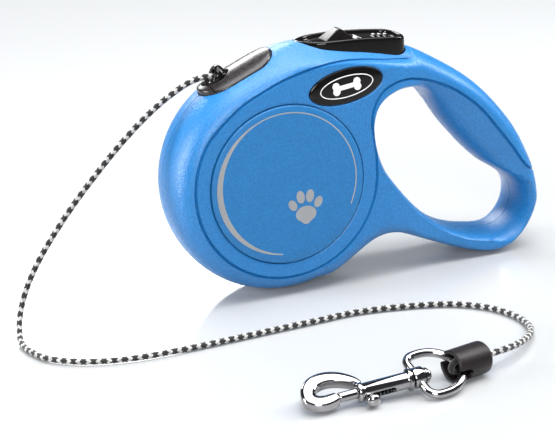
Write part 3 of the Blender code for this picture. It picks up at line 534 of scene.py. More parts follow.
class Face:
    """The lines of one shell's face and its depth at any point of the side view."""

    def __init__(self):
        self.outer = housing_outline()
        self.hole = smooth_curve(HOLE_CURVE, 0.9, True)
        self.groove = groove_line()
        self.grip = smooth_curve(GROOVE_GRIP, 0.8, False)
        self.disc = disc_oval(GAP)
        self.badge = badge_oval(GAP)

    def holds(self, points):
        """Which of the points lie on the face itself, outside its openings."""
        inside = contains(self.outer, points)
        for line in (self.hole, self.disc, self.badge):
            inside &= ~contains(line, points)
        return inside

    def depth(self, points):
        x, z = points[:, 0], points[:, 1]
        outer, _ = nearest(points, self.outer, True)
        hole, _ = nearest(points, self.hole, True)
        groove, _ = nearest(points, self.groove, False)
        grip, side = nearest(points, self.grip, False)
        dip = beside_button(points, outer)
        share = quarter_round(outer / (shoulder_width(points) + 3.5 * dip), 2.1 - 0.8 * dip)
        # Between the grip's groove and the hole the face slopes in, then rolls over into the hole.
        width = hole + grip
        slope = 0.62 + 0.38 * np.clip(hole / np.maximum(width, 1e-6), 0.0, 1.0)
        slope *= quarter_round(hole / (0.42 * np.maximum(width, 1e-6)))
        slope = np.where(side < 0.0, slope, 1.0)
        on_grip = smooth_step((x - 14.0) / 12.0) * smooth_step((z - 21.0) / 12.0)
        soft_corner = HOLE_EDGE + 2.6 * smooth_step((x - 40.0) / 10.0) * (1.0 - smooth_step((z - 20.0) / 8.0))
        edge = quarter_round(hole / soft_corner)
        share = share * (edge * (1.0 - on_grip) + slope * on_grip)
        depth = GAP / 2 + (face_depth(x) - GAP / 2) * share
        bite = np.clip(1.0 - (groove / GROOVE_HALF) ** 2, 0.0, 1.0)
        depth -= GROOVE_DEPTH * bite * np.minimum(1.0, share * 1.6)
        for line in (self.disc, self.badge):
            mouth, _ = nearest(points, line, True)
            depth -= 0.22 * np.clip(1.0 - mouth / 0.45, 0.0, 1.0) ** 2
        return np.maximum(depth, GAP / 2)

    def lines(self):
        """Closed and open lines that the face's triangles must follow, the four edges of the face first."""
        closed = [self.outer, self.hole, self.disc, self.badge]
        widths = shoulder_width(table(self.outer))
        for step in range(1, 10):
            share = 1.0 - math.cos(math.radians(10.0 * step))
            closed.append(inset_line(self.outer, [share * width for width in widths]))
        for distance in (0.05, 0.2, 0.5, 0.95, 1.7):
            closed.append(inset_line(self.hole, [distance] * len(self.hole)))
        for grow in (0.15, 0.45):
            closed += [disc_oval(GAP + grow), badge_oval(GAP + grow)]
        opened = [beside(self.groove, shift * GROOVE_HALF) for shift in (-1.0, -0.5, 0.0, 0.5, 1.0)]
        return closed, opened

    def mesh(self):
        """Points with their depths, the face's triangles, and the edge loops' places among the points."""
        closed, opened = self.lines()
        spots = []
        edges = []
        loops = []
        for line, is_closed in [(line, True) for line in closed] + [(line, False) for line in opened]:
            start = len(spots)
            spots += line
            loops.append(list(range(start, len(spots))))
            last = len(line) if is_closed else len(line) - 1
            edges += [(start + i, start + (i + 1) % len(line)) for i in range(last)]
        spots += [Vector(spot) for spot in self.grid(table(spots))]
        found, _, triangles, sources, _, _ = delaunay_2d_cdt(spots, edges, [], 0, 1e-6)
        place = {}
        for index, source in enumerate(sources):
            for old in source:
                place[old] = index
        points = table(found)
        keep = self.holds(points[np.array(triangles)].mean(axis=1))
        kept = [list(triangle) for triangle, wanted in zip(triangles, keep) if wanted]
        return points, self.depth(points), kept, [[place[i] for i in loop] for loop in loops[:4]]

    def grid(self, taken):
        """Evenly spaced points on the face, clear of the points already there."""
        pitch = 1.05
        rows = []
        for row, z in enumerate(np.arange(0.5, 76.0, pitch * 0.87)):
            shift = 0.5 * pitch * (row % 2)
            rows += [(x, z) for x in np.arange(-63.0 + shift, 63.0, pitch)]
        spots = np.array(rows)
        spots = spots[self.holds(spots)]
        clear = np.array([np.min(np.hypot(*(taken - spot).T)) > 0.5 for spot in spots])
        return [tuple(spot) for spot in spots[clear]]


def shell_piece(name, side, face, finish):
    """A closed half of the housing: the detailed face, the recesses and the flat parting face."""
    flat, depths, triangles, loops = face
    points = [(x, side * depth, z) for (x, z), depth in zip(flat, depths)]
    faces = [list(triangle) for triangle in triangles]
    outer, hole, disc, badge = loops
    for loop, seat in ((disc, DISC_SEAT), (badge, BADGE_SEAT)):
        floor = list(range(len(points), len(points) + len(loop)))
        points += [(flat[i][0], side * seat, flat[i][1]) for i in loop]
        count = len(loop)
        faces += [[loop[i], loop[(i + 1) % count], floor[(i + 1) % count], floor[i]] for i in range(count)]
        faces.append(floor)
    used = outer + hole
    spots = [Vector(flat[i]) for i in used]
    edges = [(i, (i + 1) % len(outer)) for i in range(len(outer))]
    edges += [(len(outer) + i, len(outer) + (i + 1) % len(hole)) for i in range(len(hole))]
    found, _, back, sources, _, _ = delaunay_2d_cdt(spots, edges, [], 0, 1e-6)
    middles = table(found)[np.array(back)].mean(axis=1)
    keep = contains(spots[:len(outer)], middles) & ~contains(spots[len(outer):], middles)
    faces += [[used[sources[i][0]] for i in triangle] for triangle, wanted in zip(back, keep) if wanted]
    return piece(name, points, faces, [finish])


def button_outline(grow):
    """The button from above, pointed at the front: (x, y) points, grown outwards by a clearance."""
    right = [(-16.8, 3.6), (-12.7, 6.6), (-6.2, 7.9), (1.8, 8.0), (8.8, 8.0), (13.2, 7.4), (15.2, 5.0)]
    left = [(x, -y) for x, y in reversed(right)]
    line = smooth_curve([(-18.5, 0.0), *right, (15.8, 0.0), *left], 0.8, True)
    return inset_line(line, [-grow] * len(line))


def nozzle_outline(grow):
    """A long oval with round ends, in the nozzle's own plane."""
    reach = NOZZLE_HALF_LENGTH - NOZZLE_HALF_WIDTH
    radius = NOZZLE_HALF_WIDTH + grow
    line = circle(reach, 0.0, radius, -90.0, 90.0, 18) + circle(-reach, 0.0, radius, 90.0, 270.0, 18)
    return [tuple(spot) for spot in line]


def shell_cutters(side, finish):
    """The openings and cavities of one half."""
    frame = along_y(REEL_X, REEL_Z, side)
    side_view = along_y(0.0, 0.0)
    cavity = [
        (0, -1.0), (CAVITY_R, -1.0), (CAVITY_R, CAVITY_DEPTH), (4.5, CAVITY_DEPTH), (4.5, 8.5), (0, 8.5),
    ]
    made = [
        turned("cut_reel", cavity, finish, frame, sides=64),
        turned("cut_axle", rod(2.06, 8.0, 10.5), finish, frame, sides=16),
        prism("cut_pocket", [tuple(p) for p in button_outline(0.35)], 64.0, 82.0, finish),
        prism("cut_bay", box(-17.5, 13.2, -8.9, 8.9), 62.5, 65.5, finish),
        prism("cut_guide", box(-14.0, -10.0, -8.5, 3.8), 56.0, 65.0, finish),
        prism("cut_grip", GRIP_CAVITY, -7.6, 7.6, finish, side_view),
        prism("cut_notch", [(58.4, 25.6), (62.5, 26.3), (62.5, 24.5)], -14.0, 14.0, finish, side_view),
        prism("cut_nozzle", nozzle_outline(GAP), -2.4, 6.0, finish, nozzle_frame()),
        turned("cut_neck", rod(3.9, -10.0, 0.0), finish, nozzle_frame(), sides=24),
        turned("cut_way", rod(3.4, -17.0, 2.0), finish, bore_frame(), sides=24),
    ]
    for number, (x, z) in enumerate(SCREW_SPOTS):
        if side < 0:
            bore = rod(1.05, -7.95, 1.0)
        else:
            top = float(face_depth(x)) + 1.0
            seat = float(face_depth(x)) - 4.2
            bore = [(0, -1.0), (1.3, -1.0), (1.3, seat), (2.0, seat), (2.0, top), (0, top)]
        made.append(turned(f"cut_screw_{number}", bore, finish, along_y(x, z, 1), sides=24))
    return made


def make_housing(finish):
    face = Face().mesh()
    for side, name in SIDES:
        half = shell_piece(f"{name}_housing", side, face, finish)
        cut(half, shell_cutters(side, finish))
        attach(half, "housing")
        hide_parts(f"{name}_shell")


# ---------------------------------------------------------------- discs and badges


def make_discs(finish, foil):
    """The round covers with a softly rounded edge, and a printed ring and paw print on each."""
    low = DISC_SEAT + 0.15
    edge = [
        (DISC_R - 0.5 + 0.5 * math.sin(a), DISC_FACE - 0.5 + 0.5 * math.cos(a))
        for a in np.radians([90, 60, 30, 0])
    ]
    profile = [(0, low), (DISC_R, low), *edge, (DISC_R - 4.0, DISC_FACE), (0, DISC_FACE)]
    for side, name in SIDES:
        frame = along_y(REEL_X, REEL_Z, side)
        disc = turned(f"{name}_disc", profile, finish, frame, sides=120)
        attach(disc, "housing")
        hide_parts(f"{name}_cover_disc")
        turn = 1.0 if side < 0 else -1.0
        ring = printed_ring(f"{name}_ring_print", frame, turn, foil)
        print_piece = joined(ring, *paw_print(frame, turn, foil))
        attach(print_piece, "housing")


def printed_ring(name, frame, turn, foil):
    """A thin open ring, broad at its sides and fine at its ends."""
    count = 150
    inner = []
    outer = []
    for step in range(count + 1):
        share = step / count
        angle = math.radians(262.0 - 286.0 * share)
        half = 0.18 + 0.72 * abs(math.sin(math.pi * min(1.0, 1.9 * share))) ** 1.3
        radius = 21.6 + 0.35 * math.cos(angle - math.radians(80.0))
        for line, distance in ((inner, radius - half), (outer, radius + half)):
            line.append((turn * distance * math.cos(angle), distance * math.sin(angle)))
    return flat_print(name, inner + outer[::-1], frame, foil, strip=True)


def flat_print(name, outline, frame, foil, strip=False):
    """A print a few hundredths of a millimetre thick on the disc's face."""
    low, high = DISC_FACE - 0.02, DISC_FACE + 0.035
    count = len(outline)
    points = [(x, y, low) for x, y in outline] + [(x, y, high) for x, y in outline]
    faces = [[i, (i + 1) % count, count + (i + 1) % count, count + i] for i in range(count)]
    if strip:
        for base in (0, count):
            end = base + count - 1
            faces += [[base + i, base + i + 1, end - i - 1, end - i] for i in range(count // 2 - 1)]
    else:
        faces += [list(range(count)), list(range(count, 2 * count))]
    return piece(name, points, faces, [foil], frame)


def paw_print(frame, turn, foil):
    """A main pad, dented along its lower edge, and four toes."""
    made = []
    pads = [
        (5.0, -9.6, 3.3, 2.5, 0.0), (0.9, -6.4, 1.25, 1.8, 28.0), (3.5, -4.2, 1.3, 2.0, 9.0),
        (6.5, -4.2, 1.3, 2.0, -9.0), (9.1, -6.4, 1.25, 1.8, -28.0),
    ]
    for number, (x, y, half_length, half_height, tilt) in enumerate(pads):
        line = oval(turn * x, y, half_length, half_height, math.radians(turn * tilt), 32)
        if number == 0:
            for p in line:
                p.y -= 0.7 * max(0.0, math.cos((p.x - turn * x) * 0.9)) * (p.y < y)
        made.append(flat_print(f"paw_{number}", [tuple(p) for p in line], frame, foil))
    return made


def make_badges(finish, paint):
    """The domed ovals, each with a fine oval line and a bone in it."""
    for side, name in SIDES:
        loops = []
        levels = [(1.0, BADGE_SEAT + 0.2), (1.0, 13.0)]
        levels += [(math.cos(a), 13.0 + 0.5 * math.sin(a)) for a in np.radians([12, 25, 40, 55, 68, 78])]
        for share, depth in levels:
            inset = BADGE_HALF_HEIGHT * (1.0 - share)
            loops.append([(p.x, side * depth, p.y) for p in badge_oval(-inset)])
        badge = stacked(f"{name}_badge_dome", loops, finish)
        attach(badge, "housing")
        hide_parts(f"{name}_badge")
        mark = joined(*badge_mark(side, paint))
        mark.name = f"{name}_badge_mark"
        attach(mark, "housing")


def badge_mark(side, paint):
    """A bone inside an oval line, printed on the dome."""
    turn = Matrix.Rotation(BADGE_TILT, 2)
    count = 72
    lines = [oval(BADGE_X, BADGE_Z, 8.6 - inset, 3.25 - inset, BADGE_TILT, count) for inset in (0.0, 0.28)]
    ring = [(p.x, side * 13.50, p.y) for line in lines for p in line]
    ring += [(x, side * 13.40, z) for x, _, z in ring]
    faces = []
    for i in range(count):
        j = (i + 1) % count
        for low, high in ((0, 1), (2, 3), (0, 2), (1, 3)):
            faces.append([low * count + i, low * count + j, high * count + j, high * count + i])
    oval_line = piece("badge_line", ring, faces, [paint])
    bone = [turn @ Vector(spot) for spot in bone_outline()]
    loops = [[(BADGE_X + p.x, side * depth, BADGE_Z + p.y) for p in bone] for depth in (13.40, 13.54)]
    return [oval_line, stacked("bone", loops, paint)]


def bone_outline():
    """One line round the bone: a quarter of it, mirrored to the other three quarters."""
    quarter = [tuple(spot) for spot in circle(3.4, 0.8, 1.15, 185.0, -44.0, 14)]
    right = quarter + [(x, -y) for x, y in reversed(quarter)]
    return right + [(-x, -y) for x, y in right]


# ---------------------------------------------------------------- button, ramp and nozzle


def rim_height(x):
    """The button's rim follows the top of the housing, level at the front and falling towards the handle."""
    return 74.9 - 2.0 * float(smooth_step((x + 6.0) / 34.0))


def cross_strips(loop):
    """Faces straight across a loop that starts at its front tip and is the same on both sides."""
    count = len(loop)
    half = count // 2
    strips = [[loop[0], loop[1], loop[-1]], [loop[half - 1], loop[half], loop[half + 1]]]
    strips += [[loop[i], loop[i + 1], loop[count - i - 1], loop[count - i]] for i in range(1, half - 1)]
    return strips


def make_button(finish):
    """The boat-shaped tray with a rolled rim, a skirt, a long low ridge and small grip bumps."""
    points = []
    rings = []

    def ring(inset, height):
        line = button_outline(-inset)
        rings.append(list(range(len(points), len(points) + len(line))))
        points.extend((p.x, p.y, height(p.x)) for p in line)

    ring(1.7, lambda x: BUTTON_FOOT)
    ring(0.0, lambda x: BUTTON_FOOT)
    rim = [
        (0.0, 1.0), (0.05, 0.6), (0.2, 0.25), (0.42, 0.06), (0.68, 0.0), (0.92, 0.07), (1.12, 0.28),
        (1.24, 0.6), (1.34, 1.0), (1.5, 1.25), (1.8, 1.35),
    ]
    for inset, drop in rim:
        ring(inset, lambda x, drop=drop: rim_height(x) - drop)
    outside = list(rings)
    ring(1.7, lambda x: rim_height(x) - 2.9)
    faces = cross_strips(outside[-1]) + cross_strips(rings[-1])
    for here, there in [*zip(outside, outside[1:]), (rings[-1], outside[0])]:
        count = len(here)
        faces += [[here[i], here[(i + 1) % count], there[(i + 1) % count], there[i]] for i in range(count)]
    button = piece("button_tray", points, faces, [finish])
    slot = prism("cut_slot", box(-9.4, 1.0, -1.4, 1.4), 68.0, 76.0, finish)
    cut(button, [slot])
    button = joined(button, tray_ridge(finish), *grip_bumps(finish))
    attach(button, "button")
    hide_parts("brake_button")


def tray_ridge(finish):
    """A broad low ridge along the tray, behind the ramp, that follows the rim's fall."""
    loops = []
    for x in np.linspace(1.0, 13.2, 22):
        end = min(1.0, (x - 1.0) / 1.2, (13.2 - x) / 1.2)
        base = rim_height(x) - 1.9
        top = rim_height(x) - 1.35 + 0.62 * math.sqrt(max(0.0, end))
        half = 4.1 - 1.2 * (1.0 - end)
        flank = [(-half, base), (-half, top - 0.25), (-half + 0.35, top)]
        loops.append([(x, y, z) for y, z in flank] + [(x, -y, z) for y, z in reversed(flank)])
    return stacked("tray_ridge", loops, finish)


def grip_bumps(finish):
    """Three flat ovals across the ridge."""
    profile = [(0, -0.9), (1.9, -0.9), (1.75, -0.5), (1.3, -0.15), (0.7, 0.03), (0, 0.08)]
    made = []
    for number, x in enumerate((7.6, 9.5, 11.4)):
        frame = frame_at((x, 0.0, rim_height(x) - 0.25)) @ Matrix.Diagonal((0.38, 1.5, 1.0, 1.0))
        made.append(turned(f"grip_bump_{number}", profile, finish, frame, sides=28))
    return made


def make_lock(finish):
    """The thumb ramp: broad at its foot, narrow at its crest, with a flat side on each hand."""
    points = [(-9.6, 3.3, 73.9), (-0.4, 3.3, 73.9), (-0.4, -3.3, 73.9), (-9.6, -3.3, 73.9)]
    for x, half, height in ((-9.4, 3.0, 74.25), (-5.2, 2.1, 77.1), (-4.0, 2.0, 77.15), (-0.6, 2.7, 74.3)):
        points += [(x, half, height), (x, -half, height)]
    faces = [
        [0, 1, 2, 3], [3, 0, 4, 5], [4, 6, 7, 5], [6, 8, 9, 7], [8, 10, 11, 9], [10, 1, 2, 11],
        [0, 4, 6, 8, 10, 1], [3, 5, 7, 9, 11, 2],
    ]
    ramp = rounded(piece("thumb_ramp", points, faces, [finish]), 0.28)
    side_view = along_y(0.0, 0.0)
    neck = prism("ramp_neck", box(-5.6, -1.9, 71.0, 74.1), -1.1, 1.1, finish, side_view)
    hold = prism("ramp_foot", box(-5.6, -1.9, 70.3, 71.4), -2.6, 2.6, finish, side_view)
    ramp = joined(ramp, neck, hold)
    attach(ramp, "lock")
    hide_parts("lock_slider")


def crown_drop(x, y):
    """The nozzle's plate is crowned: it falls away to both sides and a little to its ends."""
    return 2.0 * (y / NOZZLE_HALF_WIDTH) ** 2 + 0.5 * (x / NOZZLE_HALF_LENGTH) ** 4


def make_nozzle(finish, black):
    """The domed plate with a split near its front end, and the flared eyelet the cord runs out over."""
    frame = nozzle_frame()
    levels = [
        (0.0, 1.1), (0.05, 1.26), (0.16, 1.38), (0.35, 1.47), (0.7, 1.53), (1.5, 1.57), (2.6, 1.59),
        (3.8, 1.6), (5.0, 1.6), (6.6, 1.6),
    ]
    loops = [[(x, y, -2.2) for x, y in nozzle_outline(0.0)]]
    for inset, height in levels:
        loops.append([(x, y, height - crown_drop(x, y)) for x, y in nozzle_outline(-inset)])
    plate = stacked("nozzle_plate", loops, finish, frame)
    bore = [(0, -16.0), (3.05, -16.0), (3.05, -2.9), (3.75, -2.3), (3.75, 5.0), (0, 5.0)]
    split = prism("cut_split", box(-9.5, -9.2, -8.0, 8.0), -0.9, 3.0, finish, frame)
    cut(plate, [turned("cut_bore", bore, finish, bore_frame(), sides=40), split])
    neck = turned("nozzle_neck", tube(3.1, 3.5, -7.0, -1.5), finish, frame, sides=32)
    plate = joined(plate, neck)
    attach(plate, "housing")
    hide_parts("cord_nozzle")
    profile = [
        (1.6, -8.0), (2.75, -8.0), (2.75, -2.6), (3.1, -2.1), (3.35, -1.5), (3.45, -0.9), (3.4, -0.4),
        (3.2, 0.0), (2.9, 0.28), (2.55, 0.4), (2.2, 0.3), (1.95, 0.05), (1.8, -0.3), (1.65, -0.8),
        (1.6, -1.4),
    ]
    eyelet = turned("cord_eyelet", profile, black, bore_frame(), sides=40)
    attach(eyelet, "housing")
    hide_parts("nozzle_eyelet")


# ---------------------------------------------------------------- cord and hook


def make_cord(dark, light):
    """The braid: diamonds of dark and light yarn round the cord's line, each raised in its middle."""
    route = smooth_curve(CORD_ROUTE, 1.0, False)
    lengths = [0.0]
    for here, there in zip(route, route[1:]):
        lengths.append(lengths[-1] + (there - here).length)
    columns = 8
    row_step = 0.56
    rows = int(lengths[-1] / row_step)
    spots = table(route)

    def spot_at(distance):
        return Vector([float(np.interp(distance, lengths, spots[:, axis])) for axis in range(3)])

    halves = 2 * rows
    centres = [spot_at(lengths[-1] * i / halves) for i in range(halves + 1)]
    normal = Vector((0.0, 0.0, 1.0))
    points = []
    place = {}
    for half_row in range(halves + 1):
        ahead = (centres[min(half_row + 1, halves)] - centres[max(half_row - 1, 0)]).normalized()
        normal = (normal - ahead * normal.dot(ahead)).normalized()
        across = ahead.cross(normal)
        for half_column in range(2 * columns):
            if (half_column + half_row) % 2:
                continue
            even = half_column % 2 == 0
            middle = even and (half_column // 2 + half_row // 2) % 2 == 0
            radius = CORD_R if middle else CORD_R - 0.28 if even else CORD_R - 0.07
            angle = math.tau * half_column / (2 * columns)
            place[half_column, half_row] = len(points)
            points.append(centres[half_row] + radius * (normal * math.cos(angle) + across * math.sin(angle)))
    faces = []
    shades = []
    for row in range(rows + 1):
        for column in range(columns):
            if (row + column) % 2:
                continue
            middle = (2 * column, 2 * row)
            shade = 1 if row % 5 > 2 else 0
            corners = [(1, -1), (1, 1), (-1, 1), (-1, -1)]
            for here, there in zip(corners, corners[1:] + corners[:1]):
                tip = (here[0] + there[0], here[1] + there[1])
                keys = [middle] + [(middle[0] + dx, middle[1] + dy) for dx, dy in (here, tip, there)]
                if any(not 0 <= key[1] <= halves for key in keys):
                    continue
                faces.append([place[key[0] % (2 * columns), key[1]] for key in keys])
                shades.append(shade)
    braid = piece("leash_cord", points, faces, [dark, light], slots=shades, angle=80.0)
    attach(braid, "housing")
    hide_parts("cord")
    return braid, [tuple(spot * MM) for spot in route[::4]] + [tuple(route[-1] * MM)], lengths[-1] * MM


def make_sleeve(finish):
    """The stiff tube over the cord's stitched end, rounded at its closed end, with a notch for the ring."""
    end = [
        (SLEEVE_R - 1.4 + 1.4 * math.sin(a), 1.4 - 1.4 * math.cos(a))
        for a in np.radians([0, 20, 40, 60, 75, 90])
    ]
    mouth = [
        (SLEEVE_R, SLEEVE_LENGTH - 0.3), (SLEEVE_R - 0.25, SLEEVE_LENGTH),
        (SLEEVE_BORE + 0.15, SLEEVE_LENGTH), (SLEEVE_BORE, SLEEVE_LENGTH - 0.2),
    ]
    profile = [(1.3, 0.35), (1.6, 0.08), *end, *mouth, (SLEEVE_BORE, 1.8), (1.3, 1.8)]
    sleeve = turned("end_sleeve", profile, finish, lathe_frame(sleeve_frame()), sides=64)
    middle = SLEEVE_LENGTH - 2.4
    rounded_end = [tuple(p) for p in circle(middle, 0.0, 1.75, 270.0, 90.0, 12)]
    notch = [(SLEEVE_LENGTH + 2.0, -1.75), *rounded_end, (SLEEVE_LENGTH + 2.0, 1.75)]
    across = sleeve_frame() @ Matrix.Rotation(RING_TILT, 4, "X") @ Matrix.Rotation(QUARTER_TURN, 4, "X")
    cut(sleeve, [prism("cut_notch", notch, -6.0, 6.0, finish, across)])
    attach(sleeve, "housing")
    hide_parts("cord_end_sleeve")
    return sleeve


def make_ring(finish):
    """The D ring of round wire, with the swivel's boss in the middle of its straight bar."""
    bow = [
        (8.0 + 8.0 * math.cos(turn), RING_HALF_WIDTH * math.sin(turn), 0.0)
        for turn in (math.radians(90.0 + 6.0 * step) for step in range(31))
    ]
    bend = [(10.2, 0.12), (11.4, 0.75), (12.15, 1.7), (RING_LENGTH, 3.0)]
    corner = [(x, inset - RING_HALF_WIDTH, 0.0) for x, inset in bend]
    mirrored = [(x, -y, z) for x, y, z in reversed(corner)]
    path = smooth_curve([*bow, *corner, (RING_LENGTH, 0.0, 0.0), *mirrored], 0.5, True)
    wire = round_section(RING_WIRE, 20)
    ring = swept("swivel_ring_wire", path, wire, finish, ring_frame(), closed=True)
    lower = [(1.35, -1.5), (2.4, -1.5), (2.65, -1.35), (2.75, -1.05)]
    upper = [(radius, -height) for radius, height in reversed(lower)]
    ring = joined(ring, turned("ring_boss", lower + upper, finish, lathe_frame(hook_frame()), sides=48))
    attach(ring, "ring")
    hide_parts("swivel_ring")
    return ring


def make_rivet(finish):
    """The swivel pin, with a stepped domed head."""
    profile = [
        (0, -3.75), (0.6, -3.72), (1.1, -3.55), (1.45, -3.25), (1.55, -2.95), (1.75, -2.9), (2.0, -2.7),
        (2.1, -2.35), (2.1, -2.0), (1.95, -1.82), (1.2, -1.8), (1.2, 3.6), (0, 3.6),
    ]
    rivet = turned("swivel_pin", profile, finish, lathe_frame(hook_frame()), sides=48)
    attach(rivet, "hook")
    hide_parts("swivel_rivet")
    return rivet


def eye_section(half_width):
    """A flat-topped section with rounded corners, as high as the casting is thick."""
    section = []
    for step in range(24):
        turn = math.tau * step / 24
        across, up = math.cos(turn), math.sin(turn)
        square = [math.copysign(math.sqrt(abs(value)), value) for value in (across, up)]
        section.append((half_width * square[0], 1.7 * square[1]))
    return section


def make_hook(finish):
    """Collar, slotted barrel and flat-sided eye of the snap hook."""
    frame = hook_frame()
    lathe = lathe_frame(frame)
    barrel = [
        (1.5, 1.8), (2.55, 1.8), (2.85, 1.95), (2.95, 2.3), (2.9, 2.7), (2.65, 2.95), (2.3, 3.15),
        (BARREL_R, 3.5), (BARREL_R, 15.0), (2.3, 15.2), (2.5, 15.45), (2.58, 15.8), (2.58, 16.3),
        (2.5, 16.65), (2.3, 16.9), (2.0, BARREL_END), (BOLT_R + 0.12, BARREL_END), (BOLT_R + 0.12, 5.0),
        (1.5, 4.0),
    ]
    body = turned("hook_barrel", barrel, finish, lathe, sides=56)
    ends = circle(7.6, 0.0, 0.8, 270.0, 90.0, 10) + circle(14.0, 0.0, 0.8, 90.0, -90.0, 10)
    rounded_slot = [tuple(p) for p in ends]
    across = frame @ Matrix.Rotation(QUARTER_TURN, 4, "X")
    cut(body, [prism("cut_slot", rounded_slot, 0.0, 5.0, finish, across)])
    knots = [
        (15.3, 2.0, 0.7), (16.2, 3.4, 1.1), (17.9, 4.9, 1.5), (20.4, 6.3, 1.8), (23.4, 6.9, 1.95),
        (26.4, 6.2, 2.0), (28.5, 4.1, 2.0), (29.1, 1.6, 2.0), (28.1, -0.1, 1.95), (26.0, -0.85, 1.85),
        (23.9, -0.7, 1.7), (22.6, -0.4, 1.5),
    ]
    line = smooth_curve(knots, 0.6, False)
    widths = [spot.z for spot in line]
    path = [(spot.x, spot.y, 0.0) for spot in line]

    def section(share):
        return eye_section(widths[round(share * (len(widths) - 1))])

    eye = swept("hook_eye", path, section, finish, frame)
    cut(eye, [turned("cut_bolt", rod(BOLT_R + 0.25, 16.9, BOLT_TIP + 0.3), finish, lathe, sides=32)])
    body = joined(body, eye)
    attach(body, "hook")
    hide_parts("hook_body")
    return body


def make_bolt(finish):
    """The sliding rod that closes the eye, and its thumb knob."""
    lathe = lathe_frame(hook_frame())
    profile = [
        (0, 12.3), (BOLT_R, 12.3), (BOLT_R, BOLT_TIP - 0.5), (BOLT_R - 0.08, BOLT_TIP - 0.22),
        (BOLT_R - 0.3, BOLT_TIP), (0, BOLT_TIP),
    ]
    bolt = turned("bolt_rod", profile, finish, lathe, sides=40)
    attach(bolt, "bolt")
    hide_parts("hook_bolt")
    stem = hook_frame() @ frame_at((13.9, -1.3 - GAP, 0.0), roll=QUARTER_TURN)
    profile = [
        (0, -0.1), (0.62, -0.1), (0.62, 1.1), (0.9, 1.3), (1.45, 1.5), (1.8, 1.85), (1.92, 2.3), (1.82, 2.75),
        (1.5, 3.15), (1.05, 3.42), (0.5, 3.57), (0, 3.6),
    ]
    knob = turned("thumb_knob", profile, finish, stem, sides=36)
    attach(knob, "bolt")
    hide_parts("bolt_knob")
    return bolt, knob


# ---------------------------------------------------------------- materials


def material(name, roughness, metallic=0.0, specular=0.5):
    made = bpy.data.materials.new(name)
    made.use_nodes = True
    shader = made.node_tree.nodes["Principled BSDF"]
    shader.inputs["Roughness"].default_value = roughness
    shader.inputs["Metallic"].default_value = metallic
    shader.inputs["Specular IOR Level"].default_value = specular
    return made, shader


def noise(made, scale, detail=3.0):
    tree = made.node_tree
    place = tree.nodes.new("ShaderNodeTexCoord")
    texture = tree.nodes.new("ShaderNodeTexNoise")
    texture.inputs["Scale"].default_value = scale
    texture.inputs["Detail"].default_value = detail
    tree.links.new(place.outputs["Object"], texture.inputs["Vector"])
    return texture.outputs["Fac"]


def shade_between(made, shader, source, low, high):
    """The base colour goes from low to high over the noise's middle range."""
    tree = made.node_tree
    ramp = tree.nodes.new("ShaderNodeValToRGB")
    ramp.color_ramp.elements[0].position = 0.35
    ramp.color_ramp.elements[0].color = (*low, 1.0)
    ramp.color_ramp.elements[1].position = 0.65
    ramp.color_ramp.elements[1].color = (*high, 1.0)
    tree.links.new(source, ramp.inputs["Fac"])
    tree.links.new(ramp.outputs["Color"], shader.inputs["Base Color"])


def map_range(made, source, start, end, low, high):
    spread = made.node_tree.nodes.new("ShaderNodeMapRange")
    for name, value in (("From Min", start), ("From Max", end), ("To Min", low), ("To Max", high)):
        spread.inputs[name].default_value = value
    made.node_tree.links.new(source, spread.inputs["Value"])
    return spread


def rough_between(made, shader, source, low, high):
    spread = map_range(made, source, 0.3, 0.7, low, high)
    made.node_tree.links.new(spread.outputs["Result"], shader.inputs["Roughness"])


def grain(made, shader, source, strength, distance):
    tree = made.node_tree
    bump = tree.nodes.new("ShaderNodeBump")
    bump.inputs["Strength"].default_value = strength
    bump.inputs["Distance"].default_value = distance
    tree.links.new(source, bump.inputs["Height"])
    tree.links.new(bump.outputs["Normal"], shader.inputs["Normal"])


def scaled(colour, factor):
    return tuple(channel * factor for channel in colour)


def moulded(name, colour, low, high, grain_strength, specular=0.5):
    """Moulded plastic: a spark-eroded grain, a slightly uneven colour and uneven gloss."""
    made, shader = material(name, low, specular=specular)
    shade_between(made, shader, noise(made, 1500.0), scaled(colour, 0.88), scaled(colour, 1.12))
    rough_between(made, shader, noise(made, 700.0), low, high)
    if grain_strength:
        grain(made, shader, noise(made, 1700.0, 2.0), grain_strength, 0.00030)
    return made


def metal(name, colour, low, high):
    made, shader = material(name, low, metallic=1.0)
    shade_between(made, shader, noise(made, 300.0), scaled(colour, 0.96), colour)
    rough_between(made, shader, noise(made, 500.0), low, high)
    grain(made, shader, noise(made, 900.0, 4.0), 0.03, 0.00004)
    return made


def yarn(name, colour):
    made, shader = material(name, 0.85, specular=0.25)
    shade_between(made, shader, noise(made, 1500.0), scaled(colour, 0.75), scaled(colour, 1.15))
    grain(made, shader, noise(made, 5000.0, 2.0), 0.4, 0.0001)
    shader.inputs["Sheen Weight"].default_value = 0.25
    shader.inputs["Sheen Roughness"].default_value = 0.5
    return made


# ---------------------------------------------------------------- studio


def make_camera():
    """The view: from the left and a little above, turned slightly about its own axis."""
    azimuth, elevation, roll = (math.radians(value) for value in (-20.5, 18.3, 3.0))
    target = Vector((-26.7, 0.0, 19.6)) * MM
    distance = 0.4595
    level = math.cos(elevation)
    back = Vector((math.sin(azimuth) * level, -math.cos(azimuth) * level, math.sin(elevation)))
    right = Vector((math.cos(azimuth), math.sin(azimuth), 0.0))
    up = back.cross(right)
    axis_x = right * math.cos(roll) - up * math.sin(roll)
    axis_y = right * math.sin(roll) + up * math.cos(roll)
    data = bpy.data.cameras.new("camera")
    data.sensor_width = 36.0
    data.lens = 97.2973
    data.clip_start = 0.01
    data.dof.use_dof = False
    camera = bpy.data.objects.new("camera", data)
    bpy.context.scene.collection.objects.link(camera)
    turn = Matrix((axis_x, axis_y, back)).transposed().to_4x4()
    camera.matrix_world = Matrix.Translation(target + back * distance) @ turn
    bpy.context.scene.camera = camera


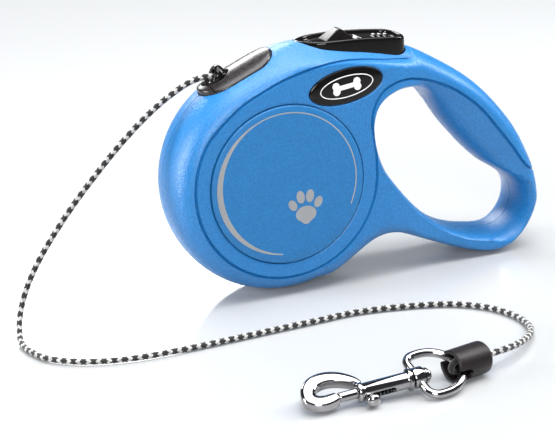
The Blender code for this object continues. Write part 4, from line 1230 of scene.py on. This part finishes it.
def softbox(name, spot, target, width, height, power):
    data = bpy.data.lights.new(name, "AREA")
    data.shape = "RECTANGLE"
    data.size = width
    data.size_y = height
    data.energy = power
    lamp = bpy.data.objects.new(name, data)
    bpy.context.scene.collection.objects.link(lamp)
    lamp.location = spot
    lamp.rotation_euler = (Vector(target) - Vector(spot)).to_track_quat("-Z", "Y").to_euler()


def brighter_behind(made, shader):
    """The floor glows a little in front of the object and more behind it, as under a lit white backdrop."""
    tree = made.node_tree
    place = tree.nodes.new("ShaderNodeTexCoord")
    split = tree.nodes.new("ShaderNodeSeparateXYZ")
    tree.links.new(place.outputs["Object"], split.inputs["Vector"])
    spread = map_range(made, split.outputs["Y"], -0.05, 0.25, 0.04, 0.25)
    spread.interpolation_type = "SMOOTHSTEP"
    tree.links.new(spread.outputs["Result"], shader.inputs["Emission Strength"])


def make_studio():
    softbox("key", (-0.40, -1.00, 0.50), (0.0, 0.0, 0.03), 0.50, 0.40, 8.8)
    softbox("top", (0.06, -0.10, 0.98), (0.0, -0.02, 0.0), 1.1, 1.0, 22.0)
    softbox("left", (-0.85, 0.15, 0.22), (-0.05, 0.0, 0.03), 0.15, 0.50, 7.0)
    softbox("right", (0.75, -0.10, 0.60), (0.02, 0.0, 0.03), 0.25, 0.5, 7.0)
    softbox("back", (0.0, 1.1, 0.6), (0.0, 0.0, 0.03), 0.8, 0.4, 11.0)
    world = bpy.data.worlds.new("studio")
    world.use_nodes = True
    sky = world.node_tree.nodes["Background"]
    sky.inputs["Color"].default_value = (0.85, 0.92, 1.0, 1.0)
    sky.inputs["Strength"].default_value = 0.08
    bpy.context.scene.world = world
    bpy.context.scene.view_settings.view_transform = "Standard"
    finish, shader = material("floor_white", 0.16)
    shade_between(finish, shader, noise(finish, 3.0), (0.375, 0.383, 0.390), (0.383, 0.391, 0.398))
    shader.inputs["Emission Color"].default_value = (0.97, 0.985, 1.0, 1.0)
    brighter_behind(finish, shader)
    corners = [(x, y, 0) for x, y in box(-3000, 3000, -3000, 3000)]
    floor = piece("floor", corners, [[0, 1, 2, 3]], [finish])


# ---------------------------------------------------------------- scene

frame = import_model()
make_camera()

blue = moulded("shell_blue", (0.014, 0.160, 0.420), 0.32, 0.42, 0.55)
disc_blue = moulded("disc_blue", (0.008, 0.142, 0.372), 0.40, 0.50, 0.40)
black = moulded("gloss_black", (0.005, 0.0045, 0.0045), 0.07, 0.11, 0.0, specular=0.26)
satin_black = moulded("satin_black", (0.006, 0.005, 0.005), 0.26, 0.34, 0.0, specular=0.26)
grey = moulded("nozzle_grey", (0.014, 0.011, 0.012), 0.24, 0.32, 0.0)
white = moulded("drum_acetal", (0.72, 0.72, 0.70), 0.42, 0.55, 0.1)
rubber = moulded("sleeve_rubber", (0.009, 0.006, 0.007), 0.38, 0.50, 0.2, specular=0.30)
paint = moulded("white_print", (0.80, 0.80, 0.80), 0.35, 0.45, 0.0)
foil = metal("silver_print", (0.50, 0.51, 0.52), 0.32, 0.44)
chrome = metal("chrome", (0.37, 0.36, 0.37), 0.06, 0.11)
steel = metal("spring_steel", (0.42, 0.44, 0.47), 0.25, 0.35)
dark_yarn_and_shade = yarn("dark_yarn_and_shade", (0.018, 0.017, 0.018))
light_yarn = yarn("light_yarn", (0.44, 0.44, 0.43))
mixed_yarn = yarn("mixed_yarn", (0.20, 0.20, 0.20))

carried_over = {
    "reel_drum": white, "reel_rear_flange": white, "spring_cover": steel, "power_spring": steel,
    "axle": steel, "button_spring": steel, "bolt_spring": steel, "brake_pawl": steel,
    "housing_screw_1": steel, "housing_screw_2": steel, "housing_screw_3": steel,
    # The cord loop inside the sleeve takes the dark yarn, not the mixed yarn of the rest of the cord: painted
    # shade for where it sits deep in the sleeve.
    "cord_feed": mixed_yarn, "cord_loop": dark_yarn_and_shade, "wound_cord": mixed_yarn,
}
for name, finish in carried_over.items():
    for slot in frame["nodes"][name].material_slots:
        slot.material = finish

braid, route, length = make_cord(dark_yarn_and_shade, light_yarn)
sleeve = make_sleeve(rubber)
ring = make_ring(chrome)
rivet = make_rivet(chrome)
hook = make_hook(chrome)
bolt, knob = make_bolt(chrome)
make_housing(blue)
make_discs(disc_blue, foil)
make_badges(black, paint)
make_button(black)
make_lock(satin_black)
make_nozzle(grey, black)
make_studio()
